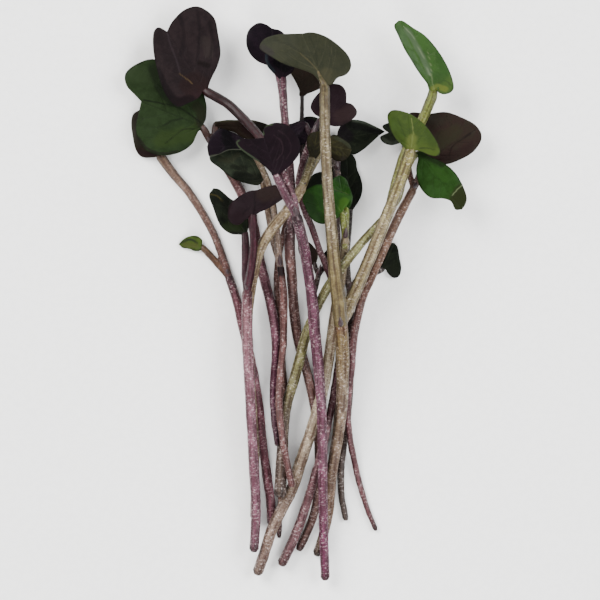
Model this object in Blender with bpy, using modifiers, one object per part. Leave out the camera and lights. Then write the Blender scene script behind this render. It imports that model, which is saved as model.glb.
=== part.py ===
"""A loose bunch of cut radish microgreens lying on a surface, its leaves towards +Y.

Each sprout is a stem that forks into two stalks, and each stalk carries one notched seed leaf.
The sprouts are laid down one after the other, so each one arches over those already there.
"""

import math

import bmesh
import bpy
import numpy as np
from mathutils import Euler, Vector

MM = 0.001

# Every length below is in millimetres, and every angle in degrees.

# The leaf blade and the air between neighbours
BLADE_THICKNESS = 0.64
GAP = 0.42
STALK_GAP = 0.45

# How a stalk bends: the curvature with which it arches over a neighbour and lifts off the surface
ARCH_CURVATURE = 0.05
LIFT_CURVATURE = 0.05

# Mesh density, with the merge distance in metres
STEM_STEP = 4.0
STALK_STEP = 3.4
CELLS_ACROSS = 6
CELLS_ALONG = 12
STEM_SIDES_RESOLUTION = 2
STEM_SIDES = 8
CURVE_SAMPLES = 24
EDGE_STEP = 0.1
LEAF_SAMPLES = 49
SHARP_ANGLE = 50
MERGE_DISTANCE = 1e-6

# The grid on which the heap's height is kept
CELL = 0.25
HEAP_LOW = (-34.0, -54.0)
HEAP_HIGH = (34.0, 54.0)
EMPTY = -1000.0
SETTLING_PASSES = 3
STATION_STEP = 1.0
FORK_BLEND = 4.0
FORK_CLEAR = 1.5

# The bud in the fork
BUD_LENGTH = 2.4
BUD_RADIUS = 0.45
BUD_TIP_RADIUS = 0.14
BUD_SIDES = 6

# The middle of the bunch as its routes are given, which becomes the origin
BUNCH_CENTRE = (0.52, 0.97)

# Edge of a seed leaf from its stalk to the notch: how far along, in lengths, and out, in half widths
LEAF_EDGE = [
    (0.04, 0.38),
    (0.16, 0.76),
    (0.38, 1.00),
    (0.64, 0.97),
    (0.86, 0.76),
    (0.99, 0.46),
    (0.96, 0.18),
]
NECK_HALF_WIDTH = 0.5
RIB_SPREAD = 0.8
MIDRIB_ROUNDING = 0.7
WAVES = 2.5

COLOURS = {
    "stem_pink": ((0.33, 0.16, 0.18), 0.45),
    "stem_pale": ((0.42, 0.38, 0.24), 0.45),
    "stem_brown": ((0.20, 0.11, 0.10), 0.5),
    "leaf_purple": ((0.035, 0.015, 0.022), 0.5),
    "leaf_green": ((0.06, 0.13, 0.02), 0.5),
    "leaf_dark": ((0.03, 0.035, 0.018), 0.5),
    "leaf_grey": ((0.075, 0.08, 0.05), 0.55),
}


def leaf(heading, length, left, right, colour, pitch=0.0, roll=0.0, fold=8.0, curl=0.0, cup=0.0,
         wave=0.2, notch=0.84):
    """One seed leaf: where it points, its length and half widths, and how it is tilted and bent.

    A roll raises its left half, and a fold or cup raises both.
    """
    edges = [[(along * length, out * half) for along, out in LEAF_EDGE] for half in (left, right)]
    return dict(heading=heading, edges=edges, rib=notch * length, colour=colour, pitch=pitch,
                roll=roll, fold=fold, curl=curl, cup=cup, wave=wave)


def drawn_leaf(root, notch, left, right, colour, pitch=0.0, roll=0.0, fold=4.0, curl=0.0, cup=0.0,
               wave=0.2):
    """A seed leaf given by its edges as seen from above, from its root along each side to its notch."""
    root, notch = np.array(root), np.array(notch)
    length = np.linalg.norm(notch - root)
    forward = (notch - root) / length
    leftward = np.array([-forward[1], forward[0]])
    stretch = math.cos(math.radians(pitch)), math.cos(math.radians(roll)) * math.cos(math.radians(fold))
    edges = []
    for side, points in ((1, left), (-1, right)):
        away = np.array(points) - root
        edges.append(list(zip(away @ forward / stretch[0], side * (away @ leftward) / stretch[1])))
    return dict(heading=math.degrees(math.atan2(forward[1], forward[0])), edges=edges,
                rib=length / stretch[0], colour=colour, pitch=pitch, roll=roll, fold=fold, curl=curl,
                cup=cup, wave=wave)


def stalk(route, girth, blade):
    """One leaf stalk: its route on from the fork, its radius there and at the leaf, and the leaf."""
    return dict(route=route, girth=girth, leaf=blade)


def sprout(colour, route, girth, upper, lower):
    """One sprout: its stem from the cut end to the fork, the stem's radii, and its two stalks."""
    return dict(colour=colour, route=route, girth=girth, upper=upper, lower=lower)


# The sprouts in the order in which they were laid down, the lowest first
SPROUTS = [
    sprout(
        "stem_brown",
        [(7.7, -36.8), (7.0, -33.3), (6.8, -29.2), (7.2, -25.0), (7.8, -20.8), (8.3, -15.0),
         (8.4, -8.3), (8.4, -2.5), (8.4, 0.8)],
        (0.5, 0.6, 0.65),
        stalk([(9.5, 3.2), (11.4, 3.9), (13.0, 4.8)], (0.6, 0.5),
              drawn_leaf((14.0, 5.4), (15.9, 9.5),
                         [(13.8, 6.3), (14.2, 7.8), (14.8, 9.0), (15.4, 9.6)],
                         [(14.7, 4.6), (15.6, 3.8), (16.6, 4.0), (17.0, 5.4), (16.7, 7.2), (16.4, 8.9)],
                         "leaf_dark")),
        stalk([(7.8, 5.0), (7.8, 9.2), (8.2, 12.5), (8.3, 14.5)], (0.55, 0.5),
              drawn_leaf((8.3, 15.1), (7.8, 24.8),
                         [(7.0, 15.3), (4.5, 15.6), (2.0, 16.8), (0.9, 18.4), (1.5, 20.2), (2.6, 21.2),
                          (4.2, 21.2), (5.6, 22.6), (6.8, 24.4)],
                         [(9.3, 15.8), (10.1, 17.2), (10.4, 18.8), (10.1, 20.4), (9.5, 21.9),
                          (9.3, 23.3), (8.7, 24.3)],
                         "leaf_dark")),
    ),
    sprout(
        "stem_brown",
        [(5.8, -26.0), (6.3, -18.3), (6.5, -11.7), (6.5, -5.0), (6.3, 1.7), (6.1, 8.3),
         (6.0, 14.2), (6.1, 18.3), (6.2, 21.3)],
        (0.6, 0.65, 0.65),
        stalk([(6.4, 23.2), (6.3, 25.4)], (0.55, 0.5),
              drawn_leaf((6.3, 27.0), (14.2, 28.2),
                         [(6.6, 28.8), (7.6, 29.9), (9.2, 30.2), (10.8, 29.9), (12.4, 29.2), (13.6, 28.6)],
                         [(7.2, 26.1), (7.8, 24.9), (9.1, 24.4), (10.6, 25.2), (12.0, 26.4), (13.3, 27.6)],
                         "leaf_dark", fold=12)),
        stalk([(5.5, 23.2), (4.7, 24.8)], (0.55, 0.5),
              leaf(140, 6.0, 3.0, 3.0, "leaf_dark")),
    ),
    sprout(
        "stem_brown",
        [(3.7, -30.0), (3.6, -23.3), (3.4, -16.7), (2.9, -10.8), (2.4, -5.8), (2.1, -0.8),
         (2.4, 2.0), (3.0, 3.8)],
        (0.5, 0.55, 0.5),
        stalk([(2.6, 5.4)], (0.4, 0.4),
              leaf(122, 4.2, 1.5, 1.5, "leaf_dark", fold=30, pitch=10)),
        stalk([(3.9, 5.3)], (0.4, 0.4),
              leaf(52, 3.8, 1.5, 1.5, "leaf_dark", fold=30)),
    ),
    sprout(
        "stem_brown",
        [(-3.5, -39.7), (-3.3, -34.2), (-3.2, -28.3), (-2.7, -21.7), (-2.5, -15.8), (-3.0, -10.0),
         (-3.5, -4.2), (-3.8, 1.7), (-3.7, 6.3), (-2.8, 10.8), (-1.3, 15.8), (0.2, 20.0)],
        (0.4, 0.55, 0.5),
        stalk([(1.3, 22.6), (1.7, 25.1)], (0.45, 0.4),
              drawn_leaf((1.9, 26.4), (-3.0, 28.5),
                         [(1.2, 26.0), (-0.5, 25.8), (-2.2, 26.5), (-3.0, 27.7)],
                         [(2.5, 27.3), (2.8, 28.9), (2.3, 30.0), (0.7, 30.1), (-1.0, 29.5), (-2.3, 29.1)],
                         "leaf_purple")),
        stalk([(0.3, 23.0), (0.2, 27.0), (0.3, 30.3), (0.35, 33.5)], (0.42, 0.34),
              drawn_leaf((0.4, 34.0), (0.8, 41.0),
                         [(-0.1, 35.0), (-0.8, 36.5), (-1.6, 38.0), (-1.9, 39.6), (-1.1, 41.0)],
                         [(1.2, 34.3), (2.5, 34.8), (3.8, 35.6), (4.3, 37.5), (3.8, 39.6), (2.4, 41.0)],
                         "leaf_grey")),
    ),
    sprout(
        "stem_pink",
        [(-4.7, -37.7), (-4.8, -34.2), (-5.5, -29.2), (-6.2, -24.2), (-6.8, -18.3), (-7.7, -12.5),
         (-8.8, -7.5), (-10.0, -2.5), (-10.8, 0.8), (-11.8, 3.7)],
        (0.72, 0.8, 0.75),
        stalk([(-13.0, 7.4), (-14.3, 10.8), (-16.0, 14.0), (-18.4, 17.8), (-21.1, 21.0),
               (-22.8, 23.3)], (0.68, 0.62, 0.62, 0.8),
              drawn_leaf((-23.3, 24.1), (-25.6, 32.3),
                         [(-24.5, 23.8), (-26.3, 23.9), (-27.3, 25.0), (-27.8, 27.0), (-28.1, 29.4),
                          (-27.8, 31.0), (-26.8, 31.7)],
                         [(-22.0, 25.2), (-21.0, 27.5), (-21.2, 30.0), (-22.5, 32.0), (-24.2, 32.8)],
                         "leaf_purple")),
        stalk([(-13.1, 5.2), (-14.3, 6.8), (-15.6, 8.1)], (0.6, 0.55),
              drawn_leaf((-16.4, 9.0), (-20.2, 9.4),
                         [(-17.2, 8.3), (-18.5, 8.7), (-19.6, 8.9)],
                         [(-16.3, 10.1), (-17.2, 10.8), (-18.6, 10.7), (-19.6, 10.1)],
                         "leaf_green", fold=20)),
    ),
    sprout(
        "stem_brown",
        [(-0.3, -41.8), (1.2, -38.7), (2.7, -34.2), (3.2, -27.5), (2.8, -20.8), (1.8, -14.7),
         (0.7, -10.3), (-0.3, -6.7), (-1.0, -1.7), (-1.3, 3.3), (-1.7, 8.3), (-1.7, 12.0)],
        (0.65, 0.75, 0.95),
        stalk([(-1.4, 15.8), (-1.4, 20.0), (-1.9, 25.0), (-2.5, 30.8), (-2.8, 36.2)], (0.6, 0.55),
              drawn_leaf((-2.9, 36.9), (-4.0, 42.0),
                         [(-3.8, 37.1), (-4.7, 38.0), (-5.5, 39.0), (-5.9, 40.4), (-5.5, 41.6)],
                         [(-2.2, 37.3), (-1.4, 37.9), (-1.0, 38.9), (-1.1, 40.3), (-2.3, 41.6)],
                         "leaf_purple", pitch=8, fold=15)),
        stalk([(-1.7, 15.8), (-1.7, 20.0), (-2.2, 25.0), (-2.8, 30.8), (-3.3, 35.8), (-4.0, 38.6)],
              (0.5, 0.45),
              drawn_leaf((-4.2, 39.2), (-4.7, 45.2),
                         [(-5.5, 39.1), (-7.2, 39.8), (-8.5, 41.2), (-9.0, 43.0), (-8.6, 44.9),
                          (-7.1, 46.1), (-5.7, 45.9)],
                         [(-2.8, 40.0), (-1.9, 41.7), (-2.0, 43.4), (-3.2, 44.8)],
                         "leaf_purple")),
    ),
    sprout(
        "stem_brown",
        [(-3.2, -44.3), (-1.5, -40.8), (0.5, -35.8), (2.2, -30.3), (3.7, -25.0), (5.0, -19.2),
         (6.0, -13.3), (6.7, -7.5), (6.7, -1.7), (5.3, 3.3), (3.5, 7.7), (1.8, 12.5), (0.5, 15.8),
         (-0.2, 18.7), (0.3, 22.0), (1.1, 24.8), (1.9, 27.0)],
        (0.8, 0.55, 0.6),
        stalk([(2.4, 28.5), (3.0, 29.4)], (0.5, 0.5),
              drawn_leaf((3.6, 30.1), (7.8, 32.9),
                         [(2.6, 30.9), (1.9, 32.0), (2.3, 33.3), (3.5, 34.7), (5.2, 35.9), (6.9, 35.8),
                          (7.8, 34.6)],
                         [(4.7, 29.2), (6.4, 28.9), (8.0, 29.5), (9.3, 30.5), (9.6, 31.5), (8.8, 32.6)],
                         "leaf_purple")),
        stalk([(1.5, 28.0)], (0.5, 0.5),
              drawn_leaf((1.1, 29.3), (-2.2, 27.6),
                         [(1.0, 28.3), (0.0, 27.2), (-1.4, 26.7)],
                         [(0.3, 29.8), (-1.0, 29.3), (-2.0, 28.6)],
                         "leaf_purple")),
    ),
    sprout(
        "stem_pink",
        [(12.7, -38.5), (11.0, -34.2), (9.7, -29.7), (8.7, -25.0), (8.0, -20.8), (8.0, -16.7),
         (8.5, -12.5), (8.8, -7.5), (9.5, -3.3), (10.3, 0.0), (11.7, 3.3), (13.2, 6.7),
         (14.8, 10.3), (16.5, 14.0), (18.0, 16.7), (18.8, 18.3)],
        (0.4, 0.65, 0.75),
        stalk([(19.8, 20.8), (20.9, 22.7)], (0.6, 0.6),
              drawn_leaf((21.4, 23.4), (29.7, 28.5),
                         [(19.9, 25.0), (18.0, 27.4), (17.2, 29.6), (18.5, 31.1), (21.2, 30.9),
                          (24.2, 31.2), (26.7, 30.4), (28.9, 29.3)],
                         [(22.8, 22.9), (24.5, 22.5), (27.0, 23.4), (28.9, 24.6), (30.1, 26.3),
                          (30.2, 27.6)],
                         "leaf_purple")),
        stalk([(18.2, 21.3), (17.8, 23.8), (17.5, 26.0)], (0.5, 0.5),
              drawn_leaf((17.3, 27.5), (15.0, 28.0),
                         [(16.6, 26.3), (15.2, 25.9), (13.9, 26.3), (13.3, 27.2), (14.0, 27.7)],
                         [(17.0, 28.9), (15.9, 29.8), (14.6, 29.6), (13.7, 29.1), (14.1, 28.4)],
                         "leaf_dark")),
    ),
    sprout(
        "stem_pale",
        [(-7.2, -45.8), (-5.8, -41.8), (-4.5, -37.8), (-2.7, -34.3), (-1.2, -31.2), (-0.2, -28.0),
         (1.2, -23.8), (2.7, -19.2), (4.0, -14.2), (5.0, -8.3), (5.8, -2.5), (6.7, 2.5),
         (7.3, 7.0), (7.5, 10.0)],
        (0.85, 1.0, 0.75),
        stalk([(7.4, 11.6), (7.25, 13.1)], (0.6, 0.6),
              drawn_leaf((7.2, 14.6), (0.5, 16.6),
                         [(6.3, 13.6), (4.6, 12.8), (3.2, 12.8), (2.0, 13.6), (1.2, 15.0)],
                         [(8.0, 15.9), (8.7, 17.2), (7.6, 17.9), (6.0, 18.4), (3.6, 19.3), (1.9, 18.9),
                          (0.8, 17.9)],
                         "leaf_green", fold=6)),
        stalk([(7.8, 12.0), (7.6, 14.5)], (0.6, 0.6),
              drawn_leaf((7.5, 15.2), (6.5, 20.9),
                         [(6.4, 15.6), (5.3, 17.3), (5.0, 19.0), (5.5, 20.4)],
                         [(8.5, 16.0), (8.7, 17.4), (8.2, 18.9), (7.6, 20.3)],
                         "leaf_green", fold=10)),
    ),
    sprout(
        "stem_pale",
        [(-3.3, -32.8), (-3.0, -26.7), (-2.7, -21.7), (-2.2, -17.5), (-1.2, -14.2), (0.0, -9.7),
         (1.0, -5.8), (2.0, -3.0), (3.3, -0.5), (4.5, 2.0), (6.0, 4.2), (7.7, 6.3), (10.2, 9.5),
         (12.8, 12.3), (14.7, 14.3)],
        (0.95, 0.8, 0.7),
        stalk([(15.3, 17.0), (16.2, 20.5), (17.4, 24.2), (19.2, 27.8), (21.0, 31.3), (21.85, 33.5)],
              (0.75, 0.8),
              drawn_leaf((22.4, 34.9), (16.5, 46.6),
                         [(21.4, 35.9), (19.6, 38.3), (17.9, 41.0), (16.4, 44.0), (15.7, 45.7)],
                         [(23.6, 34.3), (24.9, 34.5), (25.4, 35.6), (24.6, 38.3), (22.9, 41.2),
                          (20.8, 43.9), (18.7, 45.4), (17.2, 46.5)],
                         "leaf_green", fold=25, roll=12)),
        stalk([(16.2, 16.6), (17.1, 19.2), (17.4, 21.2), (18.1, 22.8), (18.8, 23.6)], (0.55, 0.5),
              drawn_leaf((19.7, 24.7), (26.9, 15.1),
                         [(21.2, 24.1), (23.8, 22.9), (25.7, 21.3), (27.0, 19.2), (27.7, 17.2),
                          (27.5, 16.0)],
                         [(19.6, 23.5), (19.3, 21.5), (19.9, 18.9), (21.6, 17.1), (23.8, 16.9),
                          (25.1, 16.4), (25.8, 15.1)],
                         "leaf_green")),
    ),
    sprout(
        "stem_pink",
        [(-3.8, -24.3), (-4.3, -20.0), (-4.5, -15.8), (-4.2, -10.8), (-4.0, -6.7), (-4.7, -1.7),
         (-5.7, 2.5), (-6.7, 6.3), (-7.3, 10.0), (-8.3, 14.2), (-9.7, 17.6), (-11.3, 20.6),
         (-13.0, 23.2), (-14.4, 25.5)],
        (0.45, 0.85, 0.7),
        stalk([(-15.1, 26.8), (-15.7, 27.9)], (0.6, 0.6),
              drawn_leaf((-16.2, 29.1), (-26.4, 33.3),
                         [(-17.0, 28.1), (-18.0, 26.1), (-20.2, 24.7), (-23.0, 24.3), (-25.5, 25.1),
                          (-26.9, 27.0), (-27.3, 29.0), (-26.8, 31.5)],
                         [(-15.6, 30.6), (-15.6, 33.0), (-16.8, 36.2), (-19.8, 38.9), (-24.2, 40.3),
                          (-27.0, 39.6), (-29.0, 38.0), (-28.9, 36.0), (-27.5, 34.4)],
                         "leaf_green")),
        stalk([(-14.2, 26.6), (-14.2, 27.6)], (0.6, 0.6),
              drawn_leaf((-14.3, 29.1), (-4.4, 28.4),
                         [(-13.6, 29.8), (-11.0, 30.0), (-8.0, 29.9), (-5.6, 29.3)],
                         [(-13.2, 28.5), (-11.4, 28.0), (-9.4, 27.0), (-7.0, 26.8), (-5.2, 27.4)],
                         "leaf_dark", roll=20, fold=10)),
    ),
    sprout(
        "stem_pink",
        [(-1.3, -31.2), (-2.2, -27.0), (-3.0, -22.5), (-3.5, -17.5), (-3.3, -12.5), (-2.8, -7.5),
         (-2.7, -2.5), (-2.8, 1.7), (-3.2, 5.3)],
        (0.6, 0.6, 0.65),
        stalk([(-3.6, 8.8), (-4.0, 12.4), (-4.5, 16.0), (-5.2, 19.2), (-6.4, 22.0), (-7.8, 24.5)],
              (0.55, 0.5),
              drawn_leaf((-8.5, 25.6), (-15.5, 25.5),
                         [(-9.8, 24.9), (-11.8, 24.9), (-13.5, 24.2), (-15.1, 23.8)],
                         [(-9.0, 26.6), (-10.3, 27.4), (-11.8, 28.1), (-13.4, 28.5), (-14.6, 27.5),
                          (-15.2, 26.4)],
                         "leaf_dark")),
        stalk([(-4.1, 8.6), (-4.9, 12.2), (-5.5, 15.6), (-6.0, 18.7)], (0.55, 0.5),
              drawn_leaf((-6.3, 19.8), (-14.9, 25.0),
                         [(-7.3, 19.0), (-9.0, 19.3), (-11.4, 20.2), (-13.4, 21.8), (-15.1, 23.2)],
                         [(-6.0, 21.0), (-6.6, 22.8), (-8.6, 24.8), (-11.0, 26.0), (-13.5, 26.2)],
                         "leaf_grey")),
    ),
    sprout(
        "stem_pale",
        [(-7.5, -36.7), (-7.5, -30.0), (-7.7, -23.3), (-8.2, -16.7), (-8.5, -10.0), (-8.7, -3.3),
         (-8.2, 1.7), (-7.3, 5.8), (-6.5, 8.7), (-5.0, 11.3), (-2.8, 14.0), (-1.0, 16.3), (0.3, 18.7)],
        (0.75, 0.85, 0.9),
        stalk([(1.2, 20.9), (1.8, 22.7)], (0.75, 0.7),
              drawn_leaf((2.1, 23.5), (2.9, 28.0),
                         [(1.5, 24.4), (1.2, 25.8), (1.3, 27.1), (1.9, 27.8)],
                         [(3.2, 24.2), (4.2, 25.5), (4.4, 26.9), (3.8, 27.9)],
                         "leaf_dark", pitch=20, fold=8)),
        stalk([(1.6, 21.3), (2.7, 23.6), (3.5, 24.7)], (0.65, 0.55),
              drawn_leaf((4.5, 25.5), (8.7, 24.6),
                         [(4.9, 26.6), (5.8, 27.2), (7.2, 26.5), (8.4, 25.6)],
                         [(4.9, 24.2), (5.8, 23.0), (7.2, 22.8), (8.3, 23.6)],
                         "leaf_dark", fold=10)),
    ),
    sprout(
        "stem_pink",
        [(-7.7, -42.0), (-7.3, -35.0), (-7.7, -27.5), (-8.2, -18.3), (-8.5, -11.7), (-8.8, -5.0),
         (-8.8, 1.3)],
        (0.75, 0.85, 0.9),
        stalk([(-8.3, 4.2), (-7.8, 7.5), (-7.7, 10.0), (-7.8, 13.0)], (0.7, 0.65),
              drawn_leaf((-7.7, 14.2), (-7.1, 18.2),
                         [(-8.9, 13.5), (-10.0, 12.6), (-11.2, 13.0), (-11.8, 14.5), (-11.4, 16.2),
                          (-9.9, 17.5), (-8.3, 18.2)],
                         [(-6.7, 14.6), (-5.2, 15.4), (-3.4, 16.5), (-2.2, 17.7), (-2.2, 18.8),
                          (-3.4, 19.3), (-5.2, 19.0)],
                         "leaf_purple", pitch=40, fold=8)),
        stalk([(-9.0, 4.2), (-9.0, 7.0), (-9.1, 10.1)], (0.7, 0.65),
              drawn_leaf((-9.2, 11.1), (-14.5, 18.5),
                         [(-10.3, 10.8), (-11.5, 10.9), (-12.8, 11.7), (-13.7, 13.0), (-14.5, 15.2),
                          (-15.2, 17.3)],
                         [(-8.6, 12.5), (-8.9, 14.5), (-10.0, 16.0), (-11.5, 16.7), (-12.7, 17.7),
                          (-13.6, 18.4)],
                         "leaf_dark")),
    ),
    sprout(
        "stem_pale",
        [(2.7, -42.7), (4.5, -36.7), (5.5, -27.5), (6.5, -21.7), (7.1, -15.0), (7.1, -8.5), (6.8, -4.3)],
        (0.7, 0.85, 0.95, 1.2),
        stalk([(6.4, 0.0), (5.8, 5.0), (5.3, 10.5), (4.9, 15.0), (4.5, 20.0), (4.2, 26.7), (4.1, 31.7),
               (4.1, 34.4)], (1.15, 1.05, 0.85, 0.8, 0.8),
              drawn_leaf((4.1, 35.4), (0.2, 44.4),
                         [(3.2, 36.3), (2.0, 37.6), (0.0, 38.4), (-2.7, 39.3), (-5.4, 40.9),
                          (-6.8, 42.1), (-6.0, 43.6), (-4.0, 44.3), (-1.8, 44.4)],
                         [(5.4, 35.9), (6.2, 36.9), (7.7, 37.5), (8.5, 38.8), (8.1, 40.5), (6.7, 42.1),
                          (4.4, 43.8), (2.0, 44.6)],
                         "leaf_grey", fold=-8, curl=15)),
        stalk([(8.1, -1.0), (10.0, 3.3), (11.8, 7.5), (14.0, 13.0), (16.0, 18.0), (17.5, 22.0),
               (18.0, 23.5)], (1.0, 0.95, 0.9),
              drawn_leaf((18.4, 25.0), (17.8, 31.1),
                         [(17.3, 25.4), (15.8, 26.8), (14.8, 28.8), (14.5, 30.4), (15.2, 31.5),
                          (16.5, 31.5)],
                         [(20.2, 24.7), (22.2, 23.8), (23.3, 24.1), (22.7, 26.2), (21.2, 28.4),
                          (19.4, 30.2)],
                         "leaf_green", pitch=42, fold=-6)),
    ),
    sprout(
        "stem_pink",
        [(4.2, -46.7), (4.0, -40.0), (3.8, -31.7), (3.7, -23.3), (3.5, -16.7), (3.0, -10.8),
         (2.5, -5.8), (2.0, 0.0), (1.3, 5.0), (0.5, 9.5), (-0.5, 13.7)],
        (0.75, 0.85, 0.95),
        stalk([(-1.7, 16.0), (-2.8, 18.2), (-3.7, 20.1)], (0.7, 0.65),
              drawn_leaf((-4.0, 20.7), (-6.0, 27.0),
                         [(-5.2, 21.5), (-6.6, 22.8), (-8.1, 23.7), (-10.2, 25.3), (-10.8, 26.2),
                          (-10.1, 26.8), (-8.0, 26.8)],
                         [(-2.8, 21.4), (-1.3, 22.8), (-0.2, 24.3), (0.0, 26.0), (-0.8, 27.8),
                          (-2.2, 29.1), (-4.0, 29.5), (-5.6, 29.0), (-6.2, 28.0)],
                         "leaf_purple")),
        stalk([(-1.3, 17.2), (-2.3, 19.6), (-3.3, 21.8), (-4.7, 24.4), (-6.5, 27.0), (-8.6, 29.2),
               (-10.5, 31.3), (-12.4, 32.9), (-14.9, 34.3)], (0.7, 0.75),
              drawn_leaf((-15.9, 34.8), (-22.2, 44.7),
                         [(-17.0, 33.6), (-18.6, 32.8), (-20.5, 32.2), (-22.3, 34.0), (-23.5, 37.0),
                          (-24.4, 41.0), (-24.5, 44.2), (-23.7, 45.4)],
                         [(-14.9, 36.7), (-13.8, 39.0), (-13.3, 41.2), (-13.7, 44.3), (-14.2, 46.7),
                          (-15.6, 48.2), (-17.4, 48.9), (-19.5, 48.2), (-21.3, 46.4)],
                         "leaf_purple")),
    ),
]


def clear_scene():
    for obj in list(bpy.data.objects):
        bpy.data.objects.remove(obj, do_unlink=True)


def material(name):
    """The Principled material of one colour."""
    found = bpy.data.materials.get(name)
    if found:
        return found
    colour, roughness = COLOURS[name]
    made = bpy.data.materials.new(name)
    made.use_nodes = True
    shader = made.node_tree.nodes["Principled BSDF"]
    shader.inputs["Base Color"].default_value = (*colour, 1.0)
    shader.inputs["Roughness"].default_value = roughness
    shader.inputs["Metallic"].default_value = 0.0
    made.diffuse_color = (*colour, 1.0)
    return made


# Curves


def smooth_curve(points):
    """A Catmull-Rom curve through the points, finely sampled."""
    given = np.asarray(points, float)
    padded = np.vstack([2 * given[0] - given[1], given, 2 * given[-1] - given[-2]])
    t = np.linspace(0, 1, CURVE_SAMPLES, endpoint=False)[:, None]
    runs = []
    for a, b, c, d in zip(padded, padded[1:], padded[2:], padded[3:]):
        bend = (2 * a - 5 * b + 4 * c - d) * t**2 + (3 * b - a - 3 * c + d) * t**3
        runs.append(b + 0.5 * ((c - a) * t + bend))
    return np.vstack([*runs, given[-1:]])


def even_stations(curve, step):
    """Points at equal steps along a curve, and how far along each one is."""
    steps = np.linalg.norm(np.diff(curve, axis=0), axis=1)
    along = np.concatenate([[0.0], np.cumsum(steps)])
    count = max(2, round(along[-1] / step) + 1)
    at = np.linspace(0, along[-1], count)
    return np.column_stack([np.interp(at, along, axis) for axis in curve.T]), at


# Leaves


def leaf_edge(plan, side, t):
    """Points of one half's edge, at t from 0 at the stalk to 1 in the notch, as (along, out)."""
    given = plan["edges"][0 if side > 0 else 1]
    outline = smooth_curve([(0.0, 0.0), (0.0, NECK_HALF_WIDTH), *given, (plan["rib"], 0.0)])
    edge, at = even_stations(outline, EDGE_STEP)
    return np.interp(t, at / at[-1], edge[:, 0]), np.interp(t, at / at[-1], edge[:, 1])


def leaf_points(plan, across, t):
    """Places on a leaf's middle surface, from its stalk, for across from -1 to 1 and t from 0 to 1."""
    across, t = np.asarray(across, float), np.asarray(t, float)
    out_share = np.abs(across)
    left_along, left_out = leaf_edge(plan, 1, t)
    right_along, right_out = leaf_edge(plan, -1, t)
    edge_along = np.where(across > 0, left_along, right_along)
    edge_out = np.where(across > 0, left_out, right_out)
    rib_along = t**RIB_SPREAD * plan["rib"]
    along = rib_along + out_share * (edge_along - rib_along)
    out = out_share * edge_out
    widths = [max(out for _, out in edge) for edge in plan["edges"]]
    half_width = np.where(across > 0, *widths)
    # Both halves are folded about the midrib, which stays rounded
    fold = math.radians(plan["fold"])
    rise = np.hypot(out, MIDRIB_ROUNDING) - MIDRIB_ROUNDING
    width_share = out / half_width
    height = rise * math.sin(fold) + plan["cup"] * width_share**2
    height = height + plan["wave"] * out_share**2 * width_share * np.sin(WAVES * math.tau * t + across)
    side = np.sign(across) * out * (1 - (1 - math.cos(fold)) * rise / np.maximum(out, 1e-6))
    # The blade is bent along its length, its tip downwards
    bend = math.radians(plan["curl"]) / plan["rib"]
    if abs(bend) > 1e-6:
        height = height - (1 - np.cos(bend * along)) / bend
        along = np.sin(bend * along) / bend
    return np.stack([along, side, height], axis=-1) @ leaf_turn(plan).T


def leaf_turn(plan):
    """The rotation from a leaf's own axes (along, left, up) to those of the bunch."""
    turn = Euler([math.radians(plan["roll"]), math.radians(-plan["pitch"]), 0.0], "XYZ")
    turn.rotate(Euler([0.0, 0.0, math.radians(plan["heading"])], "XYZ"))
    return np.array(turn.to_matrix())


def leaf_samples(plan):
    across, t = np.meshgrid(np.linspace(-1, 1, LEAF_SAMPLES), np.linspace(0, 1, LEAF_SAMPLES))
    return leaf_points(plan, across.ravel(), t.ravel())


def leaf_offset(plan, direction, radius):
    """From the end of a stalk to the base of its leaf, so that the two stay clear of each other."""
    pitch, heading = math.radians(plan["pitch"]), math.radians(plan["heading"])
    axis = np.array([math.cos(heading) * math.cos(pitch), math.sin(heading) * math.cos(pitch),
                     math.sin(pitch)])
    turned = math.sqrt(max(0.0, 1 - float(axis @ direction) ** 2))
    return direction * (STALK_GAP + (radius + NECK_HALF_WIDTH) * turned)


# The heap


class Heap:
    """How high the sprouts laid down so far reach, over a grid of small cells."""

    def __init__(self):
        shape = np.round((np.array(HEAP_HIGH) - HEAP_LOW) / CELL).astype(int)
        self.top = np.full(shape, EMPTY)

    def near(self, points, radius):
        """The cells within a radius of each point, and the height of a ball of that radius there."""
        reach = int(radius / CELL) + 1
        span = np.arange(-reach, reach + 1)
        steps = np.stack(np.meshgrid(span, span, indexing="ij"), axis=-1).reshape(-1, 2)
        places = (points[:, None, :2] - HEAP_LOW) / CELL
        cells = np.floor(places).astype(int) + steps
        away = np.sum((cells + 0.5 - places) ** 2, axis=-1) * CELL**2
        ball = np.sqrt(np.maximum(radius**2 - away, 0.0))
        return cells[..., 0], cells[..., 1], ball, away < radius**2

    def clearance(self, points, radii, gap):
        """How high the middle of a ball at each point has to be to lie on the heap or the surface."""
        needed = np.array(np.broadcast_to(radii, len(points)), float)
        for radius in np.unique(needed):
            chosen = needed == radius
            rows, columns, ball, inside = self.near(points[chosen], radius + gap)
            heights = np.where(inside, self.top[rows, columns] + ball, EMPTY)
            needed[chosen] = np.maximum(radius, heights.max(axis=1))
        return needed

    def lay(self, points, radii):
        """Adds balls to the heap."""
        radii = np.broadcast_to(radii, len(points))
        for radius in np.unique(radii):
            balls = points[radii == radius]
            rows, columns, ball, inside = self.near(balls, radius)
            heights = balls[:, None, 2] + ball
            np.maximum.at(self.top, (rows[inside], columns[inside]), heights[inside])


def arched(needed, apart):
    """The heights of a bendy stalk that clears every need, given how far apart its stations are."""
    arch = (needed[None, :] - ARCH_CURVATURE * apart**2).max(axis=1)
    lifted = (arch[None, :] - LIFT_CURVATURE * apart**2).max(axis=1)
    return (lifted[None, :] + LIFT_CURVATURE * apart**2).min(axis=1)


def tapered(girth, share):
    """The radius at a share of the way along, between evenly spaced given radii."""
    radii = np.interp(share, np.linspace(0, 1, len(girth)), girth)
    return np.round(radii, 2)


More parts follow.
